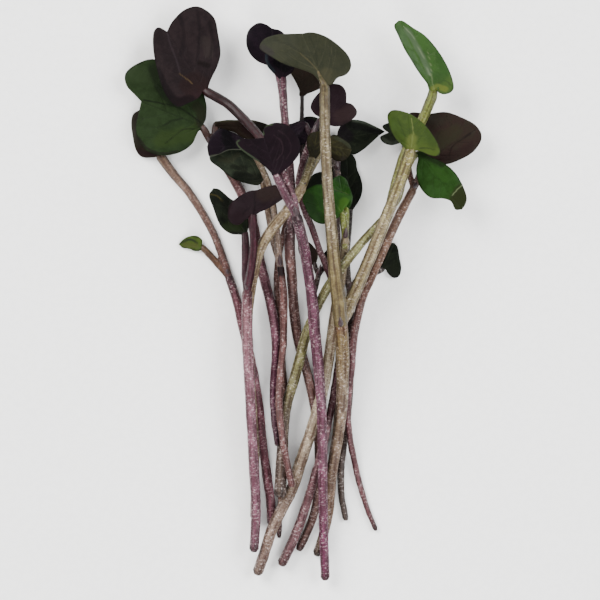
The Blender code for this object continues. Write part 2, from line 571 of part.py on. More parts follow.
class LaidSprout:
    """A sprout's stem and stalks as stations, each with its place, radius and height."""

    def __init__(self, plan, heap):
        self.plan = plan
        stem, along = even_stations(smooth_curve(plan["route"]), STATION_STEP)
        parts = [("stem", stem, along[-1] - along, tapered(plan["girth"], along / along[-1]))]
        for arm in ("upper", "lower"):
            route = [plan["route"][-1], *plan[arm]["route"]]
            # The stalk leaves the fork in the stem's own direction
            points, along = even_stations(smooth_curve(route), STATION_STEP)
            parts.append((arm, points, along, tapered(plan[arm]["girth"], along / along[-1])))
        self.part = np.concatenate([np.full(len(points), name) for name, points, _, _ in parts])
        self.place = np.vstack([points for _, points, _, _ in parts])
        self.from_fork = np.concatenate([along for _, _, along, _ in parts])
        self.radius = np.concatenate([radius for _, _, _, radius in parts])
        same = self.part[:, None] == self.part[None, :]
        apart = np.abs(self.from_fork[:, None] - self.from_fork[None, :])
        self.apart = np.where(same, apart, self.from_fork[:, None] + self.from_fork[None, :])
        self.settle(heap)

    def end_of(self, arm):
        return np.flatnonzero(self.part == arm)[-1]

    def leaf_base(self, arm, height):
        """Where the leaf of a stalk starts, for a height at each station."""
        end = self.end_of(arm)
        last = np.append(self.place[end], height[end])
        before = np.append(self.place[end - 1], height[end - 1])
        direction = (last - before) / np.linalg.norm(last - before)
        return last + leaf_offset(self.plan[arm]["leaf"], direction, self.radius[end])

    def needs(self, heap, height, arms):
        """What the heap asks of the stations and, at the ends of the stalks, of the leaves."""
        needed = heap.clearance(self.place, self.radius, GAP)
        for arm in arms:
            end = self.end_of(arm)
            base = self.leaf_base(arm, height)
            samples = leaf_samples(self.plan[arm]["leaf"]) + base
            asked = heap.clearance(samples, BLADE_THICKNESS / 2, GAP) - samples[:, 2]
            needed[end] = max(needed[end], height[end] + asked.max())
        return needed

    def settle(self, heap):
        """The lower leaf is settled first, and the upper stalk and leaf then lie over it too."""
        height = heap.clearance(self.place, self.radius, GAP)
        needed = height
        for _ in range(SETTLING_PASSES):
            needed = np.maximum(needed, self.needs(heap, height, ("lower",)))
            height = arched(needed, self.apart)
            over = Heap()
            over.top[:] = heap.top
            self.lay_arm(over, "lower", height)
            upper = self.needs(over, height, ("upper",))
            beyond = (self.part == "upper") & (self.from_fork > FORK_BLEND)
            beyond[self.end_of("upper")] = True
            needed = np.where(beyond, np.maximum(needed, upper), needed)
            height = arched(needed, self.apart)
        self.height = height

    def lay_arm(self, heap, arm, height):
        """Adds a stalk past the fork, and its leaf, to a heap."""
        points, radii = self.stretch(arm, CELL, height)
        first = round(FORK_CLEAR / CELL)
        heap.lay(points[first:], radii[first:])
        heap.lay(leaf_samples(self.plan[arm]["leaf"]) + self.leaf_base(arm, height),
                 BLADE_THICKNESS / 2)

    def lay(self, heap):
        """Adds the whole sprout to a heap."""
        for part in ("stem", "upper", "lower"):
            heap.lay(*self.stretch(part, CELL, self.height))
        for arm in ("upper", "lower"):
            self.lay_arm(heap, arm, self.height)

    def stretch(self, part, step, height):
        """Points along the stem or a stalk at equal steps, from its cut end or the fork, and radii."""
        chosen = self.part == part
        path = np.column_stack([self.place[chosen], height[chosen], self.radius[chosen]])
        if part == "stem":
            along = self.from_fork[chosen][0] - self.from_fork[chosen]
        else:
            along = self.from_fork[chosen]
        at = np.linspace(0, along[-1], max(2, round(along[-1] / step) + 1))
        points = np.column_stack([np.interp(at, along, column) for column in path.T])
        return points[:, :3], np.round(points[:, 3], 2)


# Solids


def mesh_object(name, mesh, colour, collection, parent):
    obj = bpy.data.objects.new(name, mesh)
    mesh.materials.clear()
    mesh.materials.append(material(colour))
    collection.objects.link(obj)
    obj.parent = parent
    return obj


def tube(points, radii):
    """A closed round tube through the points, with a flat side facing down."""
    curve = bpy.data.curves.new("tube", "CURVE")
    curve.dimensions = "3D"
    curve.twist_mode = "Z_UP"
    curve.bevel_depth = MM / math.cos(math.pi / STEM_SIDES)
    curve.bevel_resolution = STEM_SIDES_RESOLUTION
    curve.use_fill_caps = True
    spline = curve.splines.new("POLY")
    spline.points.add(len(points) - 1)
    for control, point, radius in zip(spline.points, points, radii):
        control.co = (*(point * MM), 1.0)
        control.radius = radius
        control.tilt = math.pi / STEM_SIDES
    drawn = bpy.data.objects.new("tube", curve)
    bpy.context.scene.collection.objects.link(drawn)
    graph = bpy.context.evaluated_depsgraph_get()
    mesh = bpy.data.meshes.new_from_object(drawn.evaluated_get(graph))
    solid = bpy.data.objects.new("tube", mesh)
    solid.matrix_world = drawn.matrix_world
    bpy.data.objects.remove(drawn, do_unlink=True)
    bm = bmesh.new()
    bm.from_mesh(mesh)
    bmesh.ops.remove_doubles(bm, verts=bm.verts, dist=MERGE_DISTANCE)
    bmesh.ops.recalc_face_normals(bm, faces=bm.faces)
    bm.to_mesh(mesh)
    bm.free()
    return solid


def bud(place, direction):
    """The small pointed bud that stands in a fork."""
    bm = bmesh.new()
    bmesh.ops.create_cone(bm, cap_ends=True, segments=BUD_SIDES, radius1=BUD_RADIUS * MM,
                          radius2=BUD_TIP_RADIUS * MM, depth=BUD_LENGTH * MM)
    mesh = bpy.data.meshes.new("bud")
    bm.to_mesh(mesh)
    bm.free()
    solid = bpy.data.objects.new("bud", mesh)
    solid.rotation_mode = "QUATERNION"
    solid.rotation_quaternion = Vector(direction).to_track_quat("Z", "Y")
    solid.location = Vector((place + direction * BUD_LENGTH / 2) * MM)
    return solid


def fused(host, others):
    """The union of the host with the others, as one mesh."""
    joined = bpy.data.collections.new("joined")
    bpy.context.scene.collection.children.link(joined)
    for other in others:
        joined.objects.link(other)
    bpy.context.scene.collection.objects.link(host)
    union = host.modifiers.new("union", "BOOLEAN")
    union.operation = "UNION"
    union.operand_type = "COLLECTION"
    union.collection = joined
    union.solver = "EXACT"
    bpy.context.view_layer.update()
    graph = bpy.context.evaluated_depsgraph_get()
    mesh = bpy.data.meshes.new_from_object(host.evaluated_get(graph))
    for obj in [host, *others]:
        bpy.data.objects.remove(obj, do_unlink=True)
    bpy.data.collections.remove(joined)
    return mesh


def make_stem(name, laid, collection, parent):
    stem_points, stem_radii = laid.stretch("stem", STEM_STEP, laid.height)
    host = tube(stem_points, stem_radii)
    fork = stem_points[-1]
    onward = fork - stem_points[-2]
    onward = onward / np.linalg.norm(onward)
    others = [bud(fork, onward)]
    for arm in ("upper", "lower"):
        points, radii = laid.stretch(arm, STALK_STEP, laid.height)
        # The stalk is sunk into the end of the stem
        rooted = np.vstack([points[:1] - onward * stem_radii[-1], points])
        others.append(tube(rooted, np.concatenate([radii[:1], radii])))
    mesh = fused(host, others)
    mesh.name = name
    stem = mesh_object(name, mesh, laid.plan["colour"], collection, parent)
    mesh.shade_smooth()
    mesh.set_sharp_from_angle(angle=math.radians(SHARP_ANGLE))
    return stem


def make_leaf(name, laid, arm, collection, parent):
    plan = laid.plan[arm]["leaf"]
    bm = bmesh.new()
    bmesh.ops.create_grid(bm, x_segments=CELLS_ACROSS, y_segments=CELLS_ALONG, size=1.0)
    across = np.array([vert.co.x for vert in bm.verts])
    along = np.array([(vert.co.y + 1) / 2 for vert in bm.verts])
    for vert, point in zip(bm.verts, leaf_points(plan, across, along)):
        vert.co = Vector(point * MM)
    # The first row meets in the root, and the last one in the notch
    bmesh.ops.remove_doubles(bm, verts=bm.verts, dist=MERGE_DISTANCE)
    bmesh.ops.triangulate(bm, faces=bm.faces)
    mesh = bpy.data.meshes.new(name)
    bm.to_mesh(mesh)
    bm.free()
    obj = mesh_object(name, mesh, plan["colour"], collection, parent)
    obj.location = Vector(laid.leaf_base(arm, laid.height) * MM)
    shell = obj.modifiers.new("thickness", "SOLIDIFY")
    shell.thickness = BLADE_THICKNESS * MM
    shell.offset = 0.0
    mesh.shade_smooth()
    return obj


def main():
    clear_scene()
    scene = bpy.context.scene
    collection = bpy.data.collections.new("radish_microgreens_bunch")
    scene.collection.children.link(collection)
    bunch = bpy.data.objects.new("bunch", None)
    collection.objects.link(bunch)
    bunch.location = (-BUNCH_CENTRE[0] * MM, -BUNCH_CENTRE[1] * MM, 0.0)
    heap = Heap()
    for number, plan in enumerate(SPROUTS, 1):
        laid = LaidSprout(plan, heap)
        laid.lay(heap)
        name = f"sprout_{number:02d}"
        make_stem(f"{name}_stem", laid, collection, bunch)
        make_leaf(f"{name}_leaf_a", laid, "upper", collection, bunch)
        make_leaf(f"{name}_leaf_b", laid, "lower", collection, bunch)
    bpy.context.view_layer.update()


main()
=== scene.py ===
"""The look of a loose bunch of cut radish microgreens that lies on a pale surface, seen from above.

The bunch is laid out here by the same rule as its solids: sprout by sprout, each one arching over those
already there. Finer stems and seed leaves then take the place of the solids.
"""

import functools
import itertools
import math

import bpy
import numpy as np
from mathutils import Euler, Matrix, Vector


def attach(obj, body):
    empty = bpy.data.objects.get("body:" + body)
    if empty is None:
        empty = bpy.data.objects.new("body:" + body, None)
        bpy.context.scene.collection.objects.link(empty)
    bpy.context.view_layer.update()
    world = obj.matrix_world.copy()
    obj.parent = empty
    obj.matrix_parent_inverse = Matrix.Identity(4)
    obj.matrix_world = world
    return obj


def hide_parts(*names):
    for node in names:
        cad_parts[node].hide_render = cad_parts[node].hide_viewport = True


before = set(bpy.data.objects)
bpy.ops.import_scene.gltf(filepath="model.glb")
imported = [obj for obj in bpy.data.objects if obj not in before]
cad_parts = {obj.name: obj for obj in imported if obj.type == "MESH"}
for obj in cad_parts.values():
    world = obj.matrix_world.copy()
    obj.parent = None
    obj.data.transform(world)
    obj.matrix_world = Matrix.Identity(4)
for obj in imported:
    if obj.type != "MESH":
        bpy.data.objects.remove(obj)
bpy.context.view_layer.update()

MM = 0.001

# Every length below is in millimetres, and every angle in degrees.

# The leaf blade and the air between neighbours
BLADE_THICKNESS = 0.64
GAP = 0.42
STALK_GAP = 0.45

# How a stalk bends: its height falls away from a neighbour, and rises from the surface, by this
# times the square of the distance, which is half the curvature
ARCH_CURVATURE = 0.05
LIFT_CURVATURE = 0.05

# Mesh density
STEM_STEP = 4.0
STALK_STEP = 3.4
CURVE_SAMPLES = 24
EDGE_STEP = 0.1
LEAF_SAMPLES = 49

# The grid on which the heap's height is kept
CELL = 0.25
HEAP_LOW = (-34.0, -54.0)
HEAP_HIGH = (34.0, 54.0)
EMPTY = -1000.0
SETTLING_PASSES = 3
STATION_STEP = 1.0
FORK_BLEND = 4.0
FORK_CLEAR = 1.5

# The bud in the fork
BUD_LENGTH = 2.4
BUD_RADIUS = 0.45
BUD_RINGS = 16
BUD_SIDES = 18

# The middle of the bunch as its routes are given, which becomes the origin
BUNCH_CENTRE = (0.52, 0.97)

# Edge of a seed leaf from its stalk to the notch: how far along, in lengths, and out, in half widths
LEAF_EDGE = [
    (0.04, 0.38),
    (0.16, 0.76),
    (0.38, 1.00),
    (0.64, 0.97),
    (0.86, 0.76),
    (0.99, 0.46),
    (0.96, 0.18),
]
NECK_HALF_WIDTH = 0.5
RIB_SPREAD = 0.8
MIDRIB_ROUNDING = 0.7
WAVES = 2.5
WAVE_HEIGHT = 0.2
NOTCH_SHARE = 0.84

ARMS = ("upper", "lower")


def leaf(heading, length, left, right, colour, pitch=0.0, fold=8.0):
    """One seed leaf: where it points, its length and half widths, its colour, its tilt and its fold."""
    edges = [[(along * length, out * half) for along, out in LEAF_EDGE] for half in (left, right)]
    return dict(heading=heading, edges=edges, rib=NOTCH_SHARE * length, colour=colour, pitch=pitch,
                roll=0.0, fold=fold, curl=0.0, wave=WAVE_HEIGHT)


def drawn_leaf(root, notch, left, right, colour, pitch=0.0, roll=0.0, fold=4.0, curl=0.0):
    """A seed leaf given by its edges as seen from above, from its root along each side to its notch.

    A roll raises its left half, a fold raises both, and a curl lowers its tip.
    """
    root, notch = np.array(root), np.array(notch)
    length = np.linalg.norm(notch - root)
    forward = (notch - root) / length
    leftward = np.array([-forward[1], forward[0]])
    stretch = math.cos(math.radians(pitch)), math.cos(math.radians(roll)) * math.cos(math.radians(fold))
    edges = []
    for side, points in ((1, left), (-1, right)):
        away = np.array(points) - root
        edges.append(list(zip(away @ forward / stretch[0], side * (away @ leftward) / stretch[1])))
    return dict(heading=math.degrees(math.atan2(forward[1], forward[0])), edges=edges,
                rib=length / stretch[0], colour=colour, pitch=pitch, roll=roll, fold=fold, curl=curl,
                wave=WAVE_HEIGHT)


def stalk(route, girth, blade):
    """One leaf stalk: its route on from the fork, its radius there and at the leaf, and the leaf."""
    return dict(route=route, girth=girth, leaf=blade)


def sprout(colour, route, girth, upper, lower):
    """One sprout: its stem from the cut end to the fork, the stem's radii, and its two stalks."""
    return dict(colour=colour, route=route, girth=girth, upper=upper, lower=lower)


# The sprouts in the order in which they were laid down, the lowest first
SPROUTS = [
    sprout(
        "stem_brown",
        [(7.7, -36.8), (7.0, -33.3), (6.8, -29.2), (7.2, -25.0), (7.8, -20.8), (8.3, -15.0), (8.4, -8.3),
         (8.4, -2.5), (8.4, 0.8)],
        (0.5, 0.6, 0.65),
        stalk([(9.5, 3.2), (11.4, 3.9), (13.0, 4.8)], (0.6, 0.5), drawn_leaf(
            (14.0, 5.4), (15.9, 9.5),
            [(13.8, 6.3), (14.2, 7.8), (14.8, 9.0), (15.4, 9.6)],
            [(14.7, 4.6), (15.6, 3.8), (16.6, 4.0), (17.0, 5.4), (16.7, 7.2), (16.4, 8.9)],
            "leaf_dark")),
        stalk([(7.8, 5.0), (7.8, 9.2), (8.2, 12.5), (8.3, 14.5)], (0.55, 0.5), drawn_leaf(
            (8.3, 15.1), (7.8, 24.8),
            [(7.0, 15.3), (4.5, 15.6), (2.0, 16.8), (0.9, 18.4), (1.5, 20.2), (2.6, 21.2), (4.2, 21.2),
             (5.6, 22.6), (6.8, 24.4)],
            [(9.3, 15.8), (10.1, 17.2), (10.4, 18.8), (10.1, 20.4), (9.5, 21.9), (9.3, 23.3), (8.7, 24.3)],
            "leaf_dark")),
    ),
    sprout(
        "stem_brown",
        [(5.8, -26.0), (6.3, -18.3), (6.5, -11.7), (6.5, -5.0), (6.3, 1.7), (6.1, 8.3), (6.0, 14.2),
         (6.1, 18.3), (6.2, 21.3)],
        (0.6, 0.65, 0.65),
        stalk([(6.4, 23.2), (6.3, 25.4)], (0.55, 0.5), drawn_leaf(
            (6.3, 27.0), (14.2, 28.2),
            [(6.6, 28.8), (7.6, 29.9), (9.2, 30.2), (10.8, 29.9), (12.4, 29.2), (13.6, 28.6)],
            [(7.2, 26.1), (7.8, 24.9), (9.1, 24.4), (10.6, 25.2), (12.0, 26.4), (13.3, 27.6)],
            "leaf_dark", fold=12)),
        stalk([(5.5, 23.2), (4.7, 24.8)], (0.55, 0.5), leaf(140, 6.0, 3.0, 3.0, "leaf_dark")),
    ),
    sprout(
        "stem_brown",
        [(3.7, -30.0), (3.6, -23.3), (3.4, -16.7), (2.9, -10.8), (2.4, -5.8), (2.1, -0.8), (2.4, 2.0),
         (3.0, 3.8)],
        (0.5, 0.55, 0.5),
        stalk([(2.6, 5.4)], (0.4, 0.4), leaf(122, 4.2, 1.5, 1.5, "leaf_dark", fold=30, pitch=10)),
        stalk([(3.9, 5.3)], (0.4, 0.4), leaf(52, 3.8, 1.5, 1.5, "leaf_dark", fold=30)),
    ),
    sprout(
        "stem_brown",
        [(-3.5, -39.7), (-3.3, -34.2), (-3.2, -28.3), (-2.7, -21.7), (-2.5, -15.8), (-3.0, -10.0),
         (-3.5, -4.2), (-3.8, 1.7), (-3.7, 6.3), (-2.8, 10.8), (-1.3, 15.8), (0.2, 20.0)],
        (0.4, 0.55, 0.5),
        stalk([(1.3, 22.6), (1.7, 25.1)], (0.45, 0.4), drawn_leaf(
            (1.9, 26.4), (-3.0, 28.5),
            [(1.2, 26.0), (-0.5, 25.8), (-2.2, 26.5), (-3.0, 27.7)],
            [(2.5, 27.3), (2.8, 28.9), (2.3, 30.0), (0.7, 30.1), (-1.0, 29.5), (-2.3, 29.1)],
            "leaf_purple")),
        stalk([(0.3, 23.0), (0.2, 27.0), (0.3, 30.3), (0.35, 33.5)], (0.42, 0.34), drawn_leaf(
            (0.4, 34.0), (0.8, 41.0),
            [(-0.1, 35.0), (-0.8, 36.5), (-1.6, 38.0), (-1.9, 39.6), (-1.1, 41.0)],
            [(1.2, 34.3), (2.5, 34.8), (3.8, 35.6), (4.3, 37.5), (3.8, 39.6), (2.4, 41.0)],
            "leaf_grey")),
    ),
    sprout(
        "stem_pink",
        [(-4.7, -37.7), (-4.8, -34.2), (-5.5, -29.2), (-6.2, -24.2), (-6.8, -18.3), (-7.7, -12.5),
         (-8.8, -7.5), (-10.0, -2.5), (-10.8, 0.8), (-11.8, 3.7)],
        (0.72, 0.8, 0.75),
        stalk([(-13.0, 7.4), (-14.3, 10.8), (-16.0, 14.0), (-18.4, 17.8), (-21.1, 21.0), (-22.8, 23.3)],
               (0.68, 0.62, 0.62, 0.8), drawn_leaf(
            (-23.3, 24.1), (-25.6, 32.3),
            [(-24.5, 23.8), (-26.3, 23.9), (-27.3, 25.0), (-27.8, 27.0), (-28.1, 29.4), (-27.8, 31.0),
             (-26.8, 31.7)],
            [(-22.0, 25.2), (-21.0, 27.5), (-21.2, 30.0), (-22.5, 32.0), (-24.2, 32.8)],
            "leaf_purple")),
        stalk([(-13.1, 5.2), (-14.3, 6.8), (-15.6, 8.1)], (0.6, 0.55), drawn_leaf(
            (-16.4, 9.0), (-20.2, 9.4),
            [(-17.2, 8.3), (-18.5, 8.7), (-19.6, 8.9)],
            [(-16.3, 10.1), (-17.2, 10.8), (-18.6, 10.7), (-19.6, 10.1)],
            "leaf_green", fold=20)),
    ),
    sprout(
        "stem_brown",
        [(-0.3, -41.8), (1.2, -38.7), (2.7, -34.2), (3.2, -27.5), (2.8, -20.8), (1.8, -14.7), (0.7, -10.3),
         (-0.3, -6.7), (-1.0, -1.7), (-1.3, 3.3), (-1.7, 8.3), (-1.7, 12.0)],
        (0.65, 0.75, 0.95),
        stalk([(-1.4, 15.8), (-1.4, 20.0), (-1.9, 25.0), (-2.5, 30.8), (-2.8, 36.2)], (0.6, 0.55), drawn_leaf(
            (-2.9, 36.9), (-4.0, 42.0),
            [(-3.8, 37.1), (-4.7, 38.0), (-5.5, 39.0), (-5.9, 40.4), (-5.5, 41.6)],
            [(-2.2, 37.3), (-1.4, 37.9), (-1.0, 38.9), (-1.1, 40.3), (-2.3, 41.6)],
            "leaf_purple", pitch=8, fold=15)),
        stalk([(-1.7, 15.8), (-1.7, 20.0), (-2.2, 25.0), (-2.8, 30.8), (-3.3, 35.8), (-4.0, 38.6)],
               (0.5, 0.45), drawn_leaf(
            (-4.2, 39.2), (-4.7, 45.2),
            [(-5.5, 39.1), (-7.2, 39.8), (-8.5, 41.2), (-9.0, 43.0), (-8.6, 44.9), (-7.1, 46.1),
             (-5.7, 45.9)],
            [(-2.8, 40.0), (-1.9, 41.7), (-2.0, 43.4), (-3.2, 44.8)],
            "leaf_purple")),
    ),
    sprout(
        "stem_brown",
        [(-3.2, -44.3), (-1.5, -40.8), (0.5, -35.8), (2.2, -30.3), (3.7, -25.0), (5.0, -19.2), (6.0, -13.3),
         (6.7, -7.5), (6.7, -1.7), (5.3, 3.3), (3.5, 7.7), (1.8, 12.5), (0.5, 15.8), (-0.2, 18.7),
         (0.3, 22.0), (1.1, 24.8), (1.9, 27.0)],
        (0.8, 0.55, 0.6),
        stalk([(2.4, 28.5), (3.0, 29.4)], (0.5, 0.5), drawn_leaf(
            (3.6, 30.1), (7.8, 32.9),
            [(2.6, 30.9), (1.9, 32.0), (2.3, 33.3), (3.5, 34.7), (5.2, 35.9), (6.9, 35.8), (7.8, 34.6)],
            [(4.7, 29.2), (6.4, 28.9), (8.0, 29.5), (9.3, 30.5), (9.6, 31.5), (8.8, 32.6)],
            "leaf_purple")),
        stalk([(1.5, 28.0)], (0.5, 0.5), drawn_leaf(
            (1.1, 29.3), (-2.2, 27.6),
            [(1.0, 28.3), (0.0, 27.2), (-1.4, 26.7)],
            [(0.3, 29.8), (-1.0, 29.3), (-2.0, 28.6)],
            "leaf_purple")),
    ),
    sprout(
        "stem_pink",
        [(12.7, -38.5), (11.0, -34.2), (9.7, -29.7), (8.7, -25.0), (8.0, -20.8), (8.0, -16.7), (8.5, -12.5),
         (8.8, -7.5), (9.5, -3.3), (10.3, 0.0), (11.7, 3.3), (13.2, 6.7), (14.8, 10.3), (16.5, 14.0),
         (18.0, 16.7), (18.8, 18.3)],
        (0.4, 0.65, 0.75),
        stalk([(19.8, 20.8), (20.9, 22.7)], (0.6, 0.6), drawn_leaf(
            (21.4, 23.4), (29.7, 28.5),
            [(19.9, 25.0), (18.0, 27.4), (17.2, 29.6), (18.5, 31.1), (21.2, 30.9), (24.2, 31.2), (26.7, 30.4),
             (28.9, 29.3)],
            [(22.8, 22.9), (24.5, 22.5), (27.0, 23.4), (28.9, 24.6), (30.1, 26.3), (30.2, 27.6)],
            "leaf_purple")),
        stalk([(18.2, 21.3), (17.8, 23.8), (17.5, 26.0)], (0.5, 0.5), drawn_leaf(
            (17.3, 27.5), (15.0, 28.0),
            [(16.6, 26.3), (15.2, 25.9), (13.9, 26.3), (13.3, 27.2), (14.0, 27.7)],
            [(17.0, 28.9), (15.9, 29.8), (14.6, 29.6), (13.7, 29.1), (14.1, 28.4)],
            "leaf_dark")),
    ),
    sprout(
        "stem_pale",
        [(-7.2, -45.8), (-5.8, -41.8), (-4.5, -37.8), (-2.7, -34.3), (-1.2, -31.2), (-0.2, -28.0),
         (1.2, -23.8), (2.7, -19.2), (4.0, -14.2), (5.0, -8.3), (5.8, -2.5), (6.7, 2.5), (7.3, 7.0),
         (7.5, 10.0)],
        (0.85, 1.0, 0.75),
        stalk([(7.4, 11.6), (7.25, 13.1)], (0.6, 0.6), drawn_leaf(
            (7.2, 14.6), (0.5, 16.6),
            [(6.3, 13.6), (4.6, 12.8), (3.2, 12.8), (2.0, 13.6), (1.2, 15.0)],
            [(8.0, 15.9), (8.7, 17.2), (7.6, 17.9), (6.0, 18.4), (3.6, 19.3), (1.9, 18.9), (0.8, 17.9)],
            "leaf_green", fold=6)),
        stalk([(7.8, 12.0), (7.6, 14.5)], (0.6, 0.6), drawn_leaf(
            (7.5, 15.2), (6.5, 20.9),
            [(6.4, 15.6), (5.3, 17.3), (5.0, 19.0), (5.5, 20.4)],
            [(8.5, 16.0), (8.7, 17.4), (8.2, 18.9), (7.6, 20.3)],
            "leaf_green", fold=10)),
    ),
    sprout(
        "stem_pale",
        [(-3.3, -32.8), (-3.0, -26.7), (-2.7, -21.7), (-2.2, -17.5), (-1.2, -14.2), (0.0, -9.7), (1.0, -5.8),
         (2.0, -3.0), (3.3, -0.5), (4.5, 2.0), (6.0, 4.2), (7.7, 6.3), (10.2, 9.5), (12.8, 12.3),
         (14.7, 14.3)],
        (0.95, 0.8, 0.7),
        stalk([(15.3, 17.0), (16.2, 20.5), (17.4, 24.2), (19.2, 27.8), (21.0, 31.3), (21.85, 33.5)],
               (0.75, 0.8), drawn_leaf(
            (22.4, 34.9), (16.5, 46.6),
            [(21.4, 35.9), (19.6, 38.3), (17.9, 41.0), (16.4, 44.0), (15.7, 45.7)],
            [(23.6, 34.3), (24.9, 34.5), (25.4, 35.6), (24.6, 38.3), (22.9, 41.2), (20.8, 43.9), (18.7, 45.4),
             (17.2, 46.5)],
            "leaf_green", fold=25, roll=12)),
        stalk([(16.2, 16.6), (17.1, 19.2), (17.4, 21.2), (18.1, 22.8), (18.8, 23.6)], (0.55, 0.5), drawn_leaf(
            (19.7, 24.7), (26.9, 15.1),
            [(21.2, 24.1), (23.8, 22.9), (25.7, 21.3), (27.0, 19.2), (27.7, 17.2), (27.5, 16.0)],
            [(19.6, 23.5), (19.3, 21.5), (19.9, 18.9), (21.6, 17.1), (23.8, 16.9), (25.1, 16.4),
             (25.8, 15.1)],
            "leaf_green")),
    ),
    sprout(
        "stem_pink",
        [(-3.8, -24.3), (-4.3, -20.0), (-4.5, -15.8), (-4.2, -10.8), (-4.0, -6.7), (-4.7, -1.7), (-5.7, 2.5),
         (-6.7, 6.3), (-7.3, 10.0), (-8.3, 14.2), (-9.7, 17.6), (-11.3, 20.6), (-13.0, 23.2), (-14.4, 25.5)],
        (0.45, 0.85, 0.7),
        stalk([(-15.1, 26.8), (-15.7, 27.9)], (0.6, 0.6), drawn_leaf(
            (-16.2, 29.1), (-26.4, 33.3),
            [(-17.0, 28.1), (-18.0, 26.1), (-20.2, 24.7), (-23.0, 24.3), (-25.5, 25.1), (-26.9, 27.0),
             (-27.3, 29.0), (-26.8, 31.5)],
            [(-15.6, 30.6), (-15.6, 33.0), (-16.8, 36.2), (-19.8, 38.9), (-24.2, 40.3), (-27.0, 39.6),
             (-29.0, 38.0), (-28.9, 36.0), (-27.5, 34.4)],
            "leaf_green")),
        stalk([(-14.2, 26.6), (-14.2, 27.6)], (0.6, 0.6), drawn_leaf(
            (-14.3, 29.1), (-4.4, 28.4),
            [(-13.6, 29.8), (-11.0, 30.0), (-8.0, 29.9), (-5.6, 29.3)],
            [(-13.2, 28.5), (-11.4, 28.0), (-9.4, 27.0), (-7.0, 26.8), (-5.2, 27.4)],
            "leaf_dark", roll=20, fold=10)),
    ),
    sprout(
        "stem_pink",
        [(-1.3, -31.2), (-2.2, -27.0), (-3.0, -22.5), (-3.5, -17.5), (-3.3, -12.5), (-2.8, -7.5),
         (-2.7, -2.5), (-2.8, 1.7), (-3.2, 5.3)],
        (0.6, 0.6, 0.65),
        stalk([(-3.6, 8.8), (-4.0, 12.4), (-4.5, 16.0), (-5.2, 19.2), (-6.4, 22.0), (-7.8, 24.5)],
               (0.55, 0.5), drawn_leaf(
            (-8.5, 25.6), (-15.5, 25.5),
            [(-9.8, 24.9), (-11.8, 24.9), (-13.5, 24.2), (-15.1, 23.8)],
            [(-9.0, 26.6), (-10.3, 27.4), (-11.8, 28.1), (-13.4, 28.5), (-14.6, 27.5), (-15.2, 26.4)],
            "leaf_dark")),
        stalk([(-4.1, 8.6), (-4.9, 12.2), (-5.5, 15.6), (-6.0, 18.7)], (0.55, 0.5), drawn_leaf(
            (-6.3, 19.8), (-14.9, 25.0),
            [(-7.3, 19.0), (-9.0, 19.3), (-11.4, 20.2), (-13.4, 21.8), (-15.1, 23.2)],
            [(-6.0, 21.0), (-6.6, 22.8), (-8.6, 24.8), (-11.0, 26.0), (-13.5, 26.2)],
            "leaf_grey")),
    ),
    sprout(
        "stem_pale",
        [(-7.5, -36.7), (-7.5, -30.0), (-7.7, -23.3), (-8.2, -16.7), (-8.5, -10.0), (-8.7, -3.3), (-8.2, 1.7),
         (-7.3, 5.8), (-6.5, 8.7), (-5.0, 11.3), (-2.8, 14.0), (-1.0, 16.3), (0.3, 18.7)],
        (0.75, 0.85, 0.9),
        stalk([(1.2, 20.9), (1.8, 22.7)], (0.75, 0.7), drawn_leaf(
            (2.1, 23.5), (2.9, 28.0),
            [(1.5, 24.4), (1.2, 25.8), (1.3, 27.1), (1.9, 27.8)],
            [(3.2, 24.2), (4.2, 25.5), (4.4, 26.9), (3.8, 27.9)],
            "leaf_dark", pitch=20, fold=8)),
        stalk([(1.6, 21.3), (2.7, 23.6), (3.5, 24.7)], (0.65, 0.55), drawn_leaf(
            (4.5, 25.5), (8.7, 24.6),
            [(4.9, 26.6), (5.8, 27.2), (7.2, 26.5), (8.4, 25.6)],
            [(4.9, 24.2), (5.8, 23.0), (7.2, 22.8), (8.3, 23.6)],
            "leaf_dark", fold=10)),
    ),
    sprout(
        "stem_pink",
        [(-7.7, -42.0), (-7.3, -35.0), (-7.7, -27.5), (-8.2, -18.3), (-8.5, -11.7), (-8.8, -5.0),
         (-8.8, 1.3)],
        (0.75, 0.85, 0.9),
        stalk([(-8.3, 4.2), (-7.8, 7.5), (-7.7, 10.0), (-7.8, 13.0)], (0.7, 0.65), drawn_leaf(
            (-7.7, 14.2), (-7.1, 18.2),
            [(-8.9, 13.5), (-10.0, 12.6), (-11.2, 13.0), (-11.8, 14.5), (-11.4, 16.2), (-9.9, 17.5),
             (-8.3, 18.2)],
            [(-6.7, 14.6), (-5.2, 15.4), (-3.4, 16.5), (-2.2, 17.7), (-2.2, 18.8), (-3.4, 19.3),
             (-5.2, 19.0)],
            "leaf_purple", pitch=40, fold=8)),
        stalk([(-9.0, 4.2), (-9.0, 7.0), (-9.1, 10.1)], (0.7, 0.65), drawn_leaf(
            (-9.2, 11.1), (-14.5, 18.5),
            [(-10.3, 10.8), (-11.5, 10.9), (-12.8, 11.7), (-13.7, 13.0), (-14.5, 15.2), (-15.2, 17.3)],
            [(-8.6, 12.5), (-8.9, 14.5), (-10.0, 16.0), (-11.5, 16.7), (-12.7, 17.7), (-13.6, 18.4)],
            "leaf_dark")),
    ),
    sprout(
        "stem_pale",
        [(2.7, -42.7), (4.5, -36.7), (5.5, -27.5), (6.5, -21.7), (7.1, -15.0), (7.1, -8.5), (6.8, -4.3)],
        (0.7, 0.85, 0.95, 1.2),
        stalk([(6.4, 0.0), (5.8, 5.0), (5.3, 10.5), (4.9, 15.0), (4.5, 20.0), (4.2, 26.7), (4.1, 31.7),
               (4.1, 34.4)], (1.15, 1.05, 0.85, 0.8, 0.8), drawn_leaf(
            (4.1, 35.4), (0.2, 44.4),
